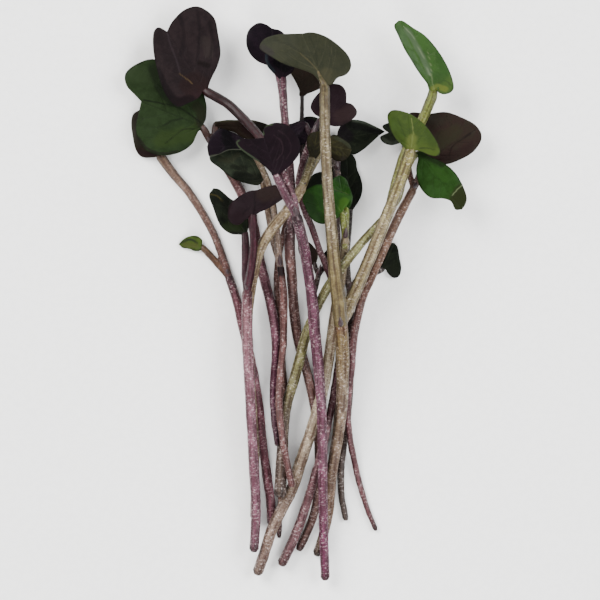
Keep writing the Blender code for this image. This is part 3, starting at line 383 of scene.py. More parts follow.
            [(3.2, 36.3), (2.0, 37.6), (0.0, 38.4), (-2.7, 39.3), (-5.4, 40.9), (-6.8, 42.1), (-6.0, 43.6),
             (-4.0, 44.3), (-1.8, 44.4)],
            [(5.4, 35.9), (6.2, 36.9), (7.7, 37.5), (8.5, 38.8), (8.1, 40.5), (6.7, 42.1), (4.4, 43.8),
             (2.0, 44.6)],
            "leaf_grey", fold=-8, curl=15)),
        stalk([(8.1, -1.0), (10.0, 3.3), (11.8, 7.5), (14.0, 13.0), (16.0, 18.0), (17.5, 22.0), (18.0, 23.5)],
               (1.0, 0.95, 0.9), drawn_leaf(
            (18.4, 25.0), (17.8, 31.1),
            [(17.3, 25.4), (15.8, 26.8), (14.8, 28.8), (14.5, 30.4), (15.2, 31.5), (16.5, 31.5)],
            [(20.2, 24.7), (22.2, 23.8), (23.3, 24.1), (22.7, 26.2), (21.2, 28.4), (19.4, 30.2)],
            "leaf_green", pitch=42, fold=-6)),
    ),
    sprout(
        "stem_pink",
        [(4.2, -46.7), (4.0, -40.0), (3.8, -31.7), (3.7, -23.3), (3.5, -16.7), (3.0, -10.8), (2.5, -5.8),
         (2.0, 0.0), (1.3, 5.0), (0.5, 9.5), (-0.5, 13.7)],
        (0.75, 0.85, 0.95),
        stalk([(-1.7, 16.0), (-2.8, 18.2), (-3.7, 20.1)], (0.7, 0.65), drawn_leaf(
            (-4.0, 20.7), (-6.0, 27.0),
            [(-5.2, 21.5), (-6.6, 22.8), (-8.1, 23.7), (-10.2, 25.3), (-10.8, 26.2), (-10.1, 26.8),
             (-8.0, 26.8)],
            [(-2.8, 21.4), (-1.3, 22.8), (-0.2, 24.3), (0.0, 26.0), (-0.8, 27.8), (-2.2, 29.1), (-4.0, 29.5),
             (-5.6, 29.0), (-6.2, 28.0)],
            "leaf_purple")),
        stalk([(-1.3, 17.2), (-2.3, 19.6), (-3.3, 21.8), (-4.7, 24.4), (-6.5, 27.0), (-8.6, 29.2),
               (-10.5, 31.3), (-12.4, 32.9), (-14.9, 34.3)], (0.7, 0.75), drawn_leaf(
            (-15.9, 34.8), (-22.2, 44.7),
            [(-17.0, 33.6), (-18.6, 32.8), (-20.5, 32.2), (-22.3, 34.0), (-23.5, 37.0), (-24.4, 41.0),
             (-24.5, 44.2), (-23.7, 45.4)],
            [(-14.9, 36.7), (-13.8, 39.0), (-13.3, 41.2), (-13.7, 44.3), (-14.2, 46.7), (-15.6, 48.2),
             (-17.4, 48.9), (-19.5, 48.2), (-21.3, 46.4)],
            "leaf_purple")),
    ),
]


# Curves


def smooth_curve(points):
    """A Catmull-Rom curve through the points, finely sampled."""
    given = np.asarray(points, float)
    padded = np.vstack([2 * given[0] - given[1], given, 2 * given[-1] - given[-2]])
    t = np.linspace(0, 1, CURVE_SAMPLES, endpoint=False)[:, None]
    runs = []
    for a, b, c, d in zip(padded, padded[1:], padded[2:], padded[3:]):
        bend = (2 * a - 5 * b + 4 * c - d) * t**2 + (3 * b - a - 3 * c + d) * t**3
        runs.append(b + 0.5 * ((c - a) * t + bend))
    return np.vstack([*runs, given[-1:]])


def even_stations(curve, step):
    """Points at equal steps along a curve, and how far along each one is."""
    steps = np.linalg.norm(np.diff(curve, axis=0), axis=1)
    along = np.concatenate([[0.0], np.cumsum(steps)])
    count = max(2, round(along[-1] / step) + 1)
    at = np.linspace(0, along[-1], count)
    return np.column_stack([np.interp(at, along, axis) for axis in curve.T]), at


# Leaves


def leaf_edge(plan, side, t):
    """Points of one half's edge, at t from 0 at the stalk to 1 in the notch, as (along, out)."""
    given = plan["edges"][0 if side > 0 else 1]
    outline = smooth_curve([(0.0, 0.0), (0.0, NECK_HALF_WIDTH), *given, (plan["rib"], 0.0)])
    edge, at = even_stations(outline, EDGE_STEP)
    return np.interp(t, at / at[-1], edge[:, 0]), np.interp(t, at / at[-1], edge[:, 1])


def leaf_points(plan, across, t):
    """Places on a leaf's middle surface, from its stalk, for across from -1 to 1 and t from 0 to 1."""
    across, t = np.asarray(across, float), np.asarray(t, float)
    out_share = np.abs(across)
    left_along, left_out = leaf_edge(plan, 1, t)
    right_along, right_out = leaf_edge(plan, -1, t)
    edge_along = np.where(across > 0, left_along, right_along)
    edge_out = np.where(across > 0, left_out, right_out)
    rib_along = t**RIB_SPREAD * plan["rib"]
    along = rib_along + out_share * (edge_along - rib_along)
    out = out_share * edge_out
    widths = [max(out for _, out in edge) for edge in plan["edges"]]
    half_width = np.where(across > 0, *widths)
    # Both halves are folded about the midrib, which stays rounded
    fold = math.radians(plan["fold"])
    rise = np.hypot(out, MIDRIB_ROUNDING) - MIDRIB_ROUNDING
    width_share = out / half_width
    height = rise * math.sin(fold)
    height = height + plan["wave"] * out_share**2 * width_share * np.sin(WAVES * math.tau * t + across)
    side = np.sign(across) * out * (1 - (1 - math.cos(fold)) * rise / np.maximum(out, 1e-6))
    # The blade is bent along its length, its tip downwards
    bend = math.radians(plan["curl"]) / plan["rib"]
    if abs(bend) > 1e-6:
        height = height - (1 - np.cos(bend * along)) / bend
        along = np.sin(bend * along) / bend
    return np.stack([along, side, height], axis=-1) @ leaf_turn(plan).T


def leaf_turn(plan):
    """The rotation from a leaf's own axes (along, left, up) to those of the bunch."""
    turn = Euler([math.radians(plan["roll"]), math.radians(-plan["pitch"]), 0.0], "XYZ")
    turn.rotate(Euler([0.0, 0.0, math.radians(plan["heading"])], "XYZ"))
    return np.array(turn.to_matrix())


def leaf_samples(plan):
    across, t = np.meshgrid(np.linspace(-1, 1, LEAF_SAMPLES), np.linspace(0, 1, LEAF_SAMPLES))
    return leaf_points(plan, across.ravel(), t.ravel())


def leaf_offset(plan, direction, radius):
    """From the end of a stalk to the base of its leaf, so that the two stay clear of each other."""
    pitch, heading = math.radians(plan["pitch"]), math.radians(plan["heading"])
    axis = np.array([math.cos(heading) * math.cos(pitch), math.sin(heading) * math.cos(pitch),
                     math.sin(pitch)])
    turned = math.sqrt(max(0.0, 1 - float(axis @ direction) ** 2))
    return direction * (STALK_GAP + (radius + NECK_HALF_WIDTH) * turned)


# The heap


class Heap:
    """How high the sprouts laid down so far reach, over a grid of small cells."""

    def __init__(self):
        shape = np.round((np.array(HEAP_HIGH) - HEAP_LOW) / CELL).astype(int)
        self.top = np.full(shape, EMPTY)

    def near(self, points, radius):
        """The cells within a radius of each point, and the height of a ball of that radius there."""
        reach = int(radius / CELL) + 1
        span = np.arange(-reach, reach + 1)
        steps = np.stack(np.meshgrid(span, span, indexing="ij"), axis=-1).reshape(-1, 2)
        places = (points[:, None, :2] - HEAP_LOW) / CELL
        cells = np.floor(places).astype(int) + steps
        away = np.sum((cells + 0.5 - places) ** 2, axis=-1) * CELL**2
        ball = np.sqrt(np.maximum(radius**2 - away, 0.0))
        return cells[..., 0], cells[..., 1], ball, away < radius**2

    def clearance(self, points, radii, gap):
        """How high the middle of a ball at each point has to be to lie on the heap or the surface."""
        needed = np.array(np.broadcast_to(radii, len(points)), float)
        for radius in np.unique(needed):
            chosen = needed == radius
            rows, columns, ball, inside = self.near(points[chosen], radius + gap)
            heights = np.where(inside, self.top[rows, columns] + ball, EMPTY)
            needed[chosen] = np.maximum(radius, heights.max(axis=1))
        return needed

    def lay(self, points, radii):
        """Adds balls to the heap."""
        radii = np.broadcast_to(radii, len(points))
        for radius in np.unique(radii):
            balls = points[radii == radius]
            rows, columns, ball, inside = self.near(balls, radius)
            heights = balls[:, None, 2] + ball
            np.maximum.at(self.top, (rows[inside], columns[inside]), heights[inside])


def arched(needed, apart):
    """The heights of a bendy stalk that clears every need, given how far apart its stations are."""
    arch = (needed[None, :] - ARCH_CURVATURE * apart**2).max(axis=1)
    lifted = (arch[None, :] - LIFT_CURVATURE * apart**2).max(axis=1)
    return (lifted[None, :] + LIFT_CURVATURE * apart**2).min(axis=1)


def tapered(girth, share):
    """The radius at a share of the way along, between evenly spaced given radii."""
    radii = np.interp(share, np.linspace(0, 1, len(girth)), girth)
    return np.round(radii, 2)


class LaidSprout:
    """A sprout's stem and stalks as stations, each with its place, radius and height."""

    def __init__(self, plan, heap):
        self.plan = plan
        stem, along = even_stations(smooth_curve(plan["route"]), STATION_STEP)
        parts = [("stem", stem, along[-1] - along, tapered(plan["girth"], along / along[-1]))]
        for arm in ("upper", "lower"):
            route = [plan["route"][-1], *plan[arm]["route"]]
            # The stalk leaves the fork in the stem's own direction
            points, along = even_stations(smooth_curve(route), STATION_STEP)
            parts.append((arm, points, along, tapered(plan[arm]["girth"], along / along[-1])))
        self.part = np.concatenate([np.full(len(points), name) for name, points, _, _ in parts])
        self.place = np.vstack([points for _, points, _, _ in parts])
        self.from_fork = np.concatenate([along for _, _, along, _ in parts])
        self.radius = np.concatenate([radius for _, _, _, radius in parts])
        same = self.part[:, None] == self.part[None, :]
        apart = np.abs(self.from_fork[:, None] - self.from_fork[None, :])
        self.apart = np.where(same, apart, self.from_fork[:, None] + self.from_fork[None, :])
        self.settle(heap)

    def end_of(self, arm):
        return np.flatnonzero(self.part == arm)[-1]

    def leaf_base(self, arm, height):
        """Where the leaf of a stalk starts, for a height at each station."""
        end = self.end_of(arm)
        last = np.append(self.place[end], height[end])
        before = np.append(self.place[end - 1], height[end - 1])
        direction = (last - before) / np.linalg.norm(last - before)
        return last + leaf_offset(self.plan[arm]["leaf"], direction, self.radius[end])

    def needs(self, heap, height, arms):
        """What the heap asks of the stations and, at the ends of the stalks, of the leaves."""
        needed = heap.clearance(self.place, self.radius, GAP)
        for arm in arms:
            end = self.end_of(arm)
            base = self.leaf_base(arm, height)
            samples = leaf_samples(self.plan[arm]["leaf"]) + base
            asked = heap.clearance(samples, BLADE_THICKNESS / 2, GAP) - samples[:, 2]
            needed[end] = max(needed[end], height[end] + asked.max())
        return needed

    def settle(self, heap):
        """The lower leaf is settled first, and the upper stalk and leaf then lie over it too."""
        height = heap.clearance(self.place, self.radius, GAP)
        needed = height
        for _ in range(SETTLING_PASSES):
            needed = np.maximum(needed, self.needs(heap, height, ("lower",)))
            height = arched(needed, self.apart)
            over = Heap()
            over.top[:] = heap.top
            self.lay_arm(over, "lower", height)
            upper = self.needs(over, height, ("upper",))
            beyond = (self.part == "upper") & (self.from_fork > FORK_BLEND)
            beyond[self.end_of("upper")] = True
            needed = np.where(beyond, np.maximum(needed, upper), needed)
            height = arched(needed, self.apart)
        self.height = height

    def lay_arm(self, heap, arm, height):
        """Adds a stalk past the fork, and its leaf, to a heap."""
        points, radii = self.stretch(arm, CELL, height)
        first = round(FORK_CLEAR / CELL)
        heap.lay(points[first:], radii[first:])
        heap.lay(leaf_samples(self.plan[arm]["leaf"]) + self.leaf_base(arm, height),
                 BLADE_THICKNESS / 2)

    def lay(self, heap):
        """Adds the whole sprout to a heap."""
        for part in ("stem", "upper", "lower"):
            heap.lay(*self.stretch(part, CELL, self.height))
        for arm in ("upper", "lower"):
            self.lay_arm(heap, arm, self.height)

    def stretch(self, part, step, height):
        """Points along the stem or a stalk at equal steps, from its cut end or the fork, and radii."""
        chosen = self.part == part
        path = np.column_stack([self.place[chosen], height[chosen], self.radius[chosen]])
        if part == "stem":
            along = self.from_fork[chosen][0] - self.from_fork[chosen]
        else:
            along = self.from_fork[chosen]
        at = np.linspace(0, along[-1], max(2, round(along[-1] / step) + 1))
        points = np.column_stack([np.interp(at, along, column) for column in path.T])
        return points[:, :3], np.round(points[:, 3], 2)


# Finer meshes

# Cells, samples and sides, and the fewest and most cells across and along a leaf
LEAF_CELL = 0.17
LEAF_COLUMNS = (24, 90)
LEAF_ROWS = (26, 96)
STEM_VOXEL = 0.17
CENTRE_STEP = 0.2
TUBE_SIDES = 14
TUBE_STEP = 2
SMOOTHING = 6
CHUNK = 4000

# Stems: the painted shade that darkens their flanks, how deep a stalk is rooted, the cut end, the ribs,
# and how far a stalk runs on along the midrib
FLANK_SHADE = 0.36
FORK_ROOT = 2.0
CUT_ROUNDING = 0.9
CUT_NARROWING = 0.55
STEM_RIBS = 5
STEM_RIB_DEPTH = 0.03
ENDS_REACH = 30.0
MIDRIB_REACH = 3.4

# Leaves: thickness, rim and swelling of the midrib, the widths, starts, angles and reach of veins,
# and a distance beyond any stroke
BLADE_FINE = 0.34
RIM_POWER = 6
RIM_CROWDING = 1.15
RIB_FADE = 1.6
RIB_WIDTH, VEIN_WIDTH, TWIG_WIDTH = 0.16, 0.10, 0.07
VEIN_STARTS = (0.02, 0.14, 0.34, 0.56)
VEIN_ANGLES = (42, 58)
TWIG_ANGLES = (28, 40)
VEIN_REACH = (1.0, 1.2)
FAR_AWAY = 99.0

# How strongly grain, root and rim colour a leaf, and how far the root's colour reaches
GRAIN_STRENGTH = 0.35
ROOT_STRENGTH = 0.25
ROOT_REACH = 2.2
RIM_STRENGTH = 0.8

# How deep a colour code is taken, the power and pivot of its shades, and how vivid it is
LEAF_TONE = (0.30, 0.1, 0.12, 1.12)
STEM_TONE = (0.56, 0.40, 0.5, 1.28)
LUMINANCE = (0.2126, 0.7152, 0.0722)


class Noise:
    """Smooth noise between -1 and 1 over a repeating lattice."""

    SIZE = 32

    def __init__(self, seed):
        self.lattice = np.random.default_rng(seed).uniform(-1, 1, (self.SIZE,) * 3)

    def __call__(self, points, wavelength):
        places = np.asarray(points, float) / wavelength
        if places.shape[-1] == 2:
            places = np.concatenate([places, np.zeros(places.shape[:-1] + (1,))], axis=-1)
        cell = np.floor(places).astype(int)
        share = places - cell
        share = share * share * (3 - 2 * share)
        total = 0.0
        for corner in itertools.product((0, 1), repeat=3):
            weight = np.prod(np.where(corner, share, 1 - share), axis=-1)
            index = (cell + corner) % self.SIZE
            total = total + weight * self.lattice[index[..., 0], index[..., 1], index[..., 2]]
        return total


def eased(x, low, high):
    """0 below low, 1 above high, smooth between."""
    share = np.clip((x - low) / (high - low), 0, 1)
    return share * share * (3 - 2 * share)


def linear(code, tone=LEAF_TONE):
    """The linear colour of a six-figure code, darkened and made more vivid for bright studio light."""
    parts = np.array([int(code[i:i + 2], 16) for i in (0, 2, 4)]) / 255
    light = np.where(parts <= 0.04045, parts / 12.92, ((parts + 0.055) / 1.055) ** 2.4)
    depth, power, pivot, vivid = tone
    grey = light @ LUMINANCE
    light = np.maximum(grey + (light - grey) * vivid, 0.08 * grey)
    return depth * light * (grey / pivot) ** power


def ramp(stops, share):
    """Colours along a list of (share, code)."""
    at = [stop for stop, _ in stops]
    colours = np.array([linear(code, STEM_TONE) for _, code in stops])
    return np.column_stack([np.interp(share, at, column) for column in colours.T])


def unit(vectors):
    return vectors / np.linalg.norm(vectors, axis=-1, keepdims=True)


def axes_round(ahead):
    """The upward and leftward directions square to each of the given ones."""
    up = unit(np.array([0.0, 0.0, 1.0]) - ahead * ahead[:, 2:])
    return up, np.cross(ahead, up)


def distance_to(places, a, b):
    """How far each place is from the stretch between a and b."""
    step = b - a
    t = np.clip((places - a) @ step / max(step @ step, 1e-9), 0, 1)
    return np.linalg.norm(places - a - t[:, None] * step, axis=1)


def tube_faces(rows, sides):
    """Faces of a tube made of rings, closed at both ends."""
    index = np.arange(rows * sides).reshape(rows, sides)
    beside = np.roll(index, -1, axis=1)
    quads = np.stack([index[:-1], beside[:-1], beside[1:], index[1:]], axis=-1).reshape(-1, 4).tolist()
    return [*quads, index[0, ::-1].tolist(), index[-1].tolist()]


def new_object(name, data):
    made = bpy.data.objects.new(name, data)
    bpy.context.scene.collection.objects.link(made)
    return made


def new_piece(name, points, faces, attributes, made_of):
    mesh = bpy.data.meshes.new(name)
    mesh.from_pydata((points * MM).tolist(), [], faces)
    for key, values in attributes.items():
        values = np.asarray(values, np.float32)
        if values.ndim == 1:
            mesh.attributes.new(key, "FLOAT", "POINT").data.foreach_set("value", values)
        elif key in ("tint", "paint"):
            colour = np.column_stack([values, np.ones(len(values), np.float32)])[:, :4]
            mesh.attributes.new(key, "FLOAT_COLOR", "POINT").data.foreach_set("color", colour.ravel())
        else:
            mesh.attributes.new(key, "FLOAT_VECTOR", "POINT").data.foreach_set("vector", values.ravel())
    mesh.materials.append(made_of)
    mesh.shade_smooth()
    piece = new_object(name, mesh)
    piece.location = (-BUNCH_CENTRE[0] * MM, -BUNCH_CENTRE[1] * MM, 0.0)
    return piece


# Seed leaves


def vein_lines(plan, seed):
    """The veins of a leaf as (points, width), each point being (along, left)."""
    draw = np.random.default_rng(seed)
    rib = plan["rib"]
    veins = [(np.column_stack([np.linspace(0, 0.98 * rib, 24), np.zeros(24)]), RIB_WIDTH)]
    for side, edge in ((1, plan["edges"][0]), (-1, plan["edges"][1])):
        width = max(out for _, out in edge)
        for start in VEIN_STARTS:
            start = (start + draw.uniform(-0.03, 0.03)) * rib
            angle = math.radians(draw.uniform(*VEIN_ANGLES))
            reach = width * draw.uniform(*VEIN_REACH)
            q = np.linspace(0, 1, 18)
            along = start + reach * (math.cos(angle) * q + 0.28 * q**2)
            out = reach * math.sin(angle) * q * (1 - 0.18 * q)
            line = np.column_stack([along, side * out])
            veins.append((line, VEIN_WIDTH))
            twig = line[draw.integers(7, 10)]
            bend = angle - math.radians(draw.uniform(*TWIG_ANGLES)) * draw.choice([-1, 1])
            steps = 0.45 * reach * q[:, None]
            heading = np.array([math.cos(bend), side * math.sin(bend)])
            veins.append((twig + steps * heading + 0.06 * steps**2 * [1, 0], TWIG_WIDTH))
    return veins


def vein_nearness(places, veins):
    """How near each (along, left) place is to a vein: 0 on it, 1 a vein's width away, up to 4."""
    nearest = np.full(len(places), 4.0)
    for line, width in veins:
        fade = np.linspace(1, 0.55, len(line) - 1)
        for a, b, share in zip(line, line[1:], fade):
            nearest = np.minimum(nearest, distance_to(places, a, b) / (width * share))
    return nearest


def painted(places, marks, noise):
    """The colour and strength at each place of soft strokes painted over one another."""
    colour = np.zeros((len(places), 3))
    strength = np.zeros(len(places))
    uneven = 0.18 * noise(places, 1.1) + 0.10 * noise(places, 0.45)
    for code, width, share, line in marks:
        line = smooth_curve(line)
        away = np.full(len(places), FAR_AWAY)
        for a, b in zip(line[::3], [*line[3::3], line[-1]]):
            away = np.minimum(away, distance_to(places, a, b))
        soft = share * (1 - eased(away * (1 + uneven), 0.55 * width, 1.25 * width))
        covering = np.where(strength > 0, soft, 1.0) * (soft > 0)
        colour = colour + (linear(code) - colour) * covering[:, None]
        strength = strength + (1 - strength) * soft
    return np.column_stack([colour, strength])


def fine_leaf(name, laid, arm, look, marks, seed):
    """A seed leaf with a rounded rim, a midrib that swells towards the stalk, and raised veins."""
    plan = laid.plan[arm]["leaf"]
    neck = laid.plan[arm]["girth"][-1]
    widths = [max(out for _, out in edge) for edge in plan["edges"]]
    columns = int(np.clip(sum(widths) / LEAF_CELL, *LEAF_COLUMNS))
    rows = int(np.clip(plan["rib"] * 1.2 / LEAF_CELL, *LEAF_ROWS))
    side = np.linspace(1, -1, columns + 1)
    side = np.sign(side) * (1 - (1 - np.abs(side)) ** RIM_CROWDING)
    across, t = np.meshgrid(side, np.linspace(0, 1, rows + 1))
    middle = leaf_points(plan, across, t)
    level = dict(plan, fold=0.0, wave=0.0, curl=0.0, pitch=0.0, roll=0.0, heading=0.0)
    flat = leaf_points(level, across, t)[..., :2]
    noise = Noise(seed)
    middle[..., 2] += 0.10 * noise(flat, 3.4) + 0.05 * noise(flat, 1.5)
    normal = np.cross(np.gradient(middle, axis=1), np.gradient(middle, axis=0))
    normal[0], normal[-1] = normal[1], normal[-2]
    normal = unit(normal)
    shape = across.shape
    near = vein_nearness(flat.reshape(-1, 2), vein_lines(plan, seed)).reshape(shape)
    relief = np.exp(-near**2)
    rim = np.where(across > 0, widths[0], widths[1]) * (1 - np.abs(across))
    closing = (1 - np.abs(across) ** RIM_POWER) ** 0.5
    swell = np.clip(1 - flat[..., 0] / (RIB_FADE * 3.0), 0, 1) ** 1.5
    spread = neck * (0.5 + 0.7 * swell)
    rib = neck * swell * np.exp(-(flat[..., 1] / spread) ** 2)
    half = BLADE_FINE / 2 * closing
    ribbed = half + closing * (rib * 0.9 + 0.05 * relief)
    plain = half + closing * (rib * 0.25 - 0.03 * relief)
    over, under = (ribbed, plain) if LOOKS[look]["underside"] else (plain, ribbed)
    top = middle + normal * over[..., None]
    bottom = middle - normal * under[..., None]
    base = laid.leaf_base(arm, laid.height)
    points = np.concatenate([top.reshape(-1, 3), bottom.reshape(-1, 3)]) + base
    both = np.concatenate
    flat3 = np.concatenate([flat.reshape(-1, 2), np.zeros((flat.size // 2, 1))], axis=1) + seed % 97
    attributes = {
        "flat": both([flat3, flat3]),
        "vein": both([near.ravel()] * 2),
        "rim": both([rim.ravel()] * 2),
        "root": both([flat[..., 0].ravel()] * 2),
        "face": both([np.ones(rim.size), np.zeros(rim.size)]),
        "paint": painted(points[:, :2], marks, noise),
    }
    return new_piece(name, points, shell_faces(*shape), attributes, leaf_material(look))


def shell_faces(rows, columns):
    """Faces of two facing grids, top first, joined round their border."""
    index = np.arange(rows * columns).reshape(rows, columns)
    quads = np.stack([index[:-1, :-1], index[:-1, 1:], index[1:, 1:], index[1:, :-1]], axis=-1)
    quads = quads.reshape(-1, 4)
    under = quads[:, ::-1] + rows * columns
    border = np.concatenate([index[0, :-1], index[:-1, -1], index[-1, :0:-1], index[:0:-1, 0]])
    following = np.roll(border, -1)
    sides = np.column_stack([following, border, border + rows * columns, following + rows * columns])
    return np.concatenate([quads, under, sides]).tolist()


# Stems


def midrib(laid, arm, girth, side):
    """The stalk's way on along the midrib, on the leaf's upper side (1) or its lower side (-1)."""
    plan = laid.plan[arm]["leaf"]
    along = np.array([0.25, 1.1, 2.1, MIDRIB_REACH]) * min(1.0, plan["rib"] / 7)
    share = (along / plan["rib"]) ** (1 / RIB_SPREAD)
    radius = girth * np.array([0.85, 0.62, 0.42, 0.24])
    up = leaf_turn(plan)[:, 2]
    lift = side * (0.55 * radius + 0.05)
    points = leaf_points(plan, np.zeros(4), share) + laid.leaf_base(arm, laid.height) + lift[:, None] * up
    return np.column_stack([points, radius])


def centrelines(laid, facing):
    """Fine samples of the stem and both stalks, as arrays of (x, y, z, radius), from the cut end on."""
    lines = {}
    stem, radii = laid.stretch("stem", STEM_STEP, laid.height)
    fork = stem[-1]
    onward = (fork - stem[-2]) / np.linalg.norm(fork - stem[-2])
    lines["stem"], along = even_stations(smooth_curve(np.column_stack([stem, radii])), CENTRE_STEP)
    # The cut end is rounded
    left = np.clip(1 - along / (CUT_ROUNDING * radii[0]), 0, 1)
    lines["stem"][:, 3] *= np.sqrt(1 - CUT_NARROWING * left**2)
    for arm in ("upper", "lower"):
        points, girth = laid.stretch(arm, STALK_STEP, laid.height)
        root = np.append(fork - onward * FORK_ROOT, radii[-1] * 0.8)
        path = [root, *np.column_stack([points, girth]), *midrib(laid, arm, girth[-1], facing[arm])]
        lines[arm] = even_stations(smooth_curve(path), CENTRE_STEP)[0]
    return lines, fork, onward


def rings(line, sides):
    """A closed tube round a centreline: its points and faces."""
    line = np.vstack([line[:-1:TUBE_STEP], line[-1:]])
    up, left = axes_round(unit(np.gradient(line[:, :3], axis=0)))
    angles = np.arange(sides) * math.tau / sides
    outward = up[:, None] * np.cos(angles)[:, None] + left[:, None] * np.sin(angles)[:, None]
    points = (line[:, None, :3] + outward * line[:, None, 3:]).reshape(-1, 3)
    return points, tube_faces(len(line), sides)


def merged(lines):
    """The skin round all the tubes: remeshed in small cells and smoothed, as (points, faces)."""
    points, faces, count = [], [], 0
    for line in lines.values():
        ring_points, ring_faces = rings(line, TUBE_SIDES)
        points.append(ring_points)
        faces += [[i + count for i in face] for face in ring_faces]
        count += len(ring_points)
    mesh = bpy.data.meshes.new("skin")
    mesh.from_pydata((np.vstack(points) * MM).tolist(), [], faces)
    skin = new_object("skin", mesh)
    remesh = skin.modifiers.new("cells", "REMESH")
    remesh.mode = "VOXEL"
    remesh.voxel_size = STEM_VOXEL * MM
    smooth = skin.modifiers.new("smooth", "SMOOTH")
    smooth.factor = 0.5
    smooth.iterations = SMOOTHING
    graph = bpy.context.evaluated_depsgraph_get()
    made = bpy.data.meshes.new_from_object(skin.evaluated_get(graph))
    bpy.data.objects.remove(skin, do_unlink=True)
    co = np.empty(len(made.vertices) * 3)
    made.vertices.foreach_get("co", co)
    found = [list(polygon.vertices) for polygon in made.polygons]
    bpy.data.meshes.remove(made)
    return co.reshape(-1, 3) / MM, found


def nearest_on(line, points):
    """For each point, the index of the nearest sample of a centreline."""
    best = np.empty(len(points), int)
    for start in range(0, len(points), CHUNK):
        chunk = points[start:start + CHUNK]
        away = ((chunk[:, None] - line[None, :, :3]) ** 2).sum(axis=2)
        best[start:start + CHUNK] = away.argmin(axis=1)
    return best


def fine_stem(name, laid, look, facing, seed):
    """The stem and its two stalks as one skin, with ribs, a groove along each stalk, and fine wrinkles."""
    lines, fork, onward = centrelines(laid, facing)
    points, faces = merged(lines)
    reach = {}
    for part, line in lines.items():
        best = nearest_on(line, points)
        ahead = unit(np.gradient(line[:, :3], axis=0)[best])
        away = points - line[best, :3]
        slip = (away * ahead).sum(axis=1)
        slip = np.where((best == 0) | (best == len(line) - 1), 0.0, slip)
        away = away - slip[:, None] * ahead
        distance = np.linalg.norm(away, axis=1)
        reach[part] = (distance - line[best, 3], away, distance, ahead, best)
    depth = np.stack([values[0] for values in reach.values()])
    owner = depth.argmin(axis=0)
    second = np.sort(depth, axis=0)[1]
    noise = Noise(seed)
    tint = np.zeros((len(points), 3))
    flow = np.zeros((len(points), 3))
    frost = np.zeros(len(points))
    shade = np.ones(len(points))
    moved = points.copy()
    stem_length = len(lines["stem"]) * CENTRE_STEP
    for index, (part, line) in enumerate(lines.items()):
        chosen = owner == index
        _, away, distance, ahead, best = (values[chosen] for values in reach[part])
        up, left = axes_round(ahead)
        angle = np.arctan2((away * left).sum(axis=1), (away * up).sum(axis=1))
        radius = line[best, 3]
        along = best * CENTRE_STEP
        length = len(line) * CENTRE_STEP
        place = np.column_stack([along * 0.5, np.cos(angle) * radius, np.sin(angle) * radius])
        share = along / length
        if part == "stem":
            wave = np.cos(STEM_RIBS * angle + 1.5 * noise(place, 9.0))
            ribs = STEM_RIB_DEPTH * wave
            ends = np.minimum(along, ENDS_REACH)
        else:
            wave = np.cos(look["ribs"] * angle + math.pi + 0.4 * noise(place, 5.0))
            ribs = look["rib_depth"] * wave * eased(along, 2.0, 5.0)
            ends = np.full(len(along), ENDS_REACH)
        # Marks the grooves between the ribs, which the material darkens with painted shade
        shade[chosen] = 0.5 + 0.5 * wave * (1.0 if part == "stem" else look["groove"])
        bulge = 0.07 * noise(place * [0.5, 0, 0] + index * 7.3, 1.6)
        crinkle = 0.035 * noise(place + 11.0, 0.7) + 0.03 * noise(place * [1.6, 1, 1], 0.45)
        wanted = radius * (1 + ribs + bulge) + crinkle
        free = eased(second[chosen], 0.15, 0.9)
        body = (best > 2) & (best < len(line) - 3)
        scale = np.where(body, wanted / np.maximum(distance, 0.05), 1.0)
        scale = 1 + (np.clip(scale, 0.8, 1.3) - 1) * free
        moved[chosen] += away * (scale - 1)[:, None]
        # Painted shade: the tint is darker towards the stem's flanks, as seen from above
        flank = eased(np.abs(np.sin(angle)), 0.45, 1.0)
        tint[chosen] = ramp(look[part], share) * (1 - FLANK_SHADE * flank)[:, None]
        # How much painted highlight (glint) shows along this part
        frost[chosen] = np.interp(share, *zip(*look["frost_" + part]))
        offset = 0.0 if part == "stem" else stem_length + 40.0 * index
        flow[chosen] = np.column_stack([along + offset, angle * np.maximum(radius, 0.5), ends])
    attributes = {"tint": tint, "flow": flow, "frost": frost, "shade": shade}
    return new_piece(name, moved, faces, attributes, stem_material()), fork, onward


def fine_bud(name, fork, onward, lift, seed):
    """Two small folded first leaves that stand as a pointed bud in the fork."""
    t = np.linspace(0, 1, BUD_RINGS)
    angle = np.arange(BUD_SIDES) * math.tau / BUD_SIDES
    up = np.array([0.0, 0.0, 1.0]) - onward * onward[2]
    up /= np.linalg.norm(up)
    left = np.cross(onward, up)
    girth = BUD_RADIUS * 1.05 * np.sin(math.pi * np.clip(t, 0.02, 1) ** 0.55) ** 0.8 + 0.03
    lobes = 1 + 0.16 * np.cos(2 * angle)[None] + 0.07 * np.sin(3 * angle + 1.0 + seed)[None]
    ring = up * np.cos(angle)[:, None] + left * np.sin(angle)[:, None]
    spine = fork + onward * (0.4 + t[:, None] * (BUD_LENGTH - 0.4)) + up * lift
    points = (spine[:, None] + ring[None] * (girth[:, None] * lobes)[..., None]).reshape(-1, 3)
    flat = np.column_stack([np.repeat(t, BUD_SIDES) * BUD_LENGTH, np.tile(angle, BUD_RINGS) * 0.4,
                            np.zeros(len(points))])
    return new_piece(name, points, tube_faces(BUD_RINGS, BUD_SIDES), {"flat": flat}, bud_material())


# Materials

# Noises: their detail, scale, a shift that keeps each apart, and stretches along and across a piece.
SOFT_DETAIL, FINE_DETAIL = 2.0, 3.0
BROAD_SCALE, PATCH_SCALE, GRAIN_SCALE, PAPER_SCALE = 0.30, 1.1, 6.0, 900.0
PATCH_SHIFT, GRAIN_SHIFT, WRINKLE_SHIFT, BLOTCH_SHIFT, GLINT_SHIFT = 5.0, 9.0, 3.0, 7.0, 13.0
FIBRE_STRETCH, WRINKLE_STRETCH = (0.18, 3.2, 0.0), (2.6, 1.6, 0.0)
BLOTCH_STRETCH, GLINT_STRETCH, STREAK_STRETCH = (0.35, 0.7, 0.0), (3.4, 1.7, 0.0), (0.8, 6.0, 1.0)
WRINKLE_RAGGEDNESS, GLINT_RAGGEDNESS = 0.6, 0.7

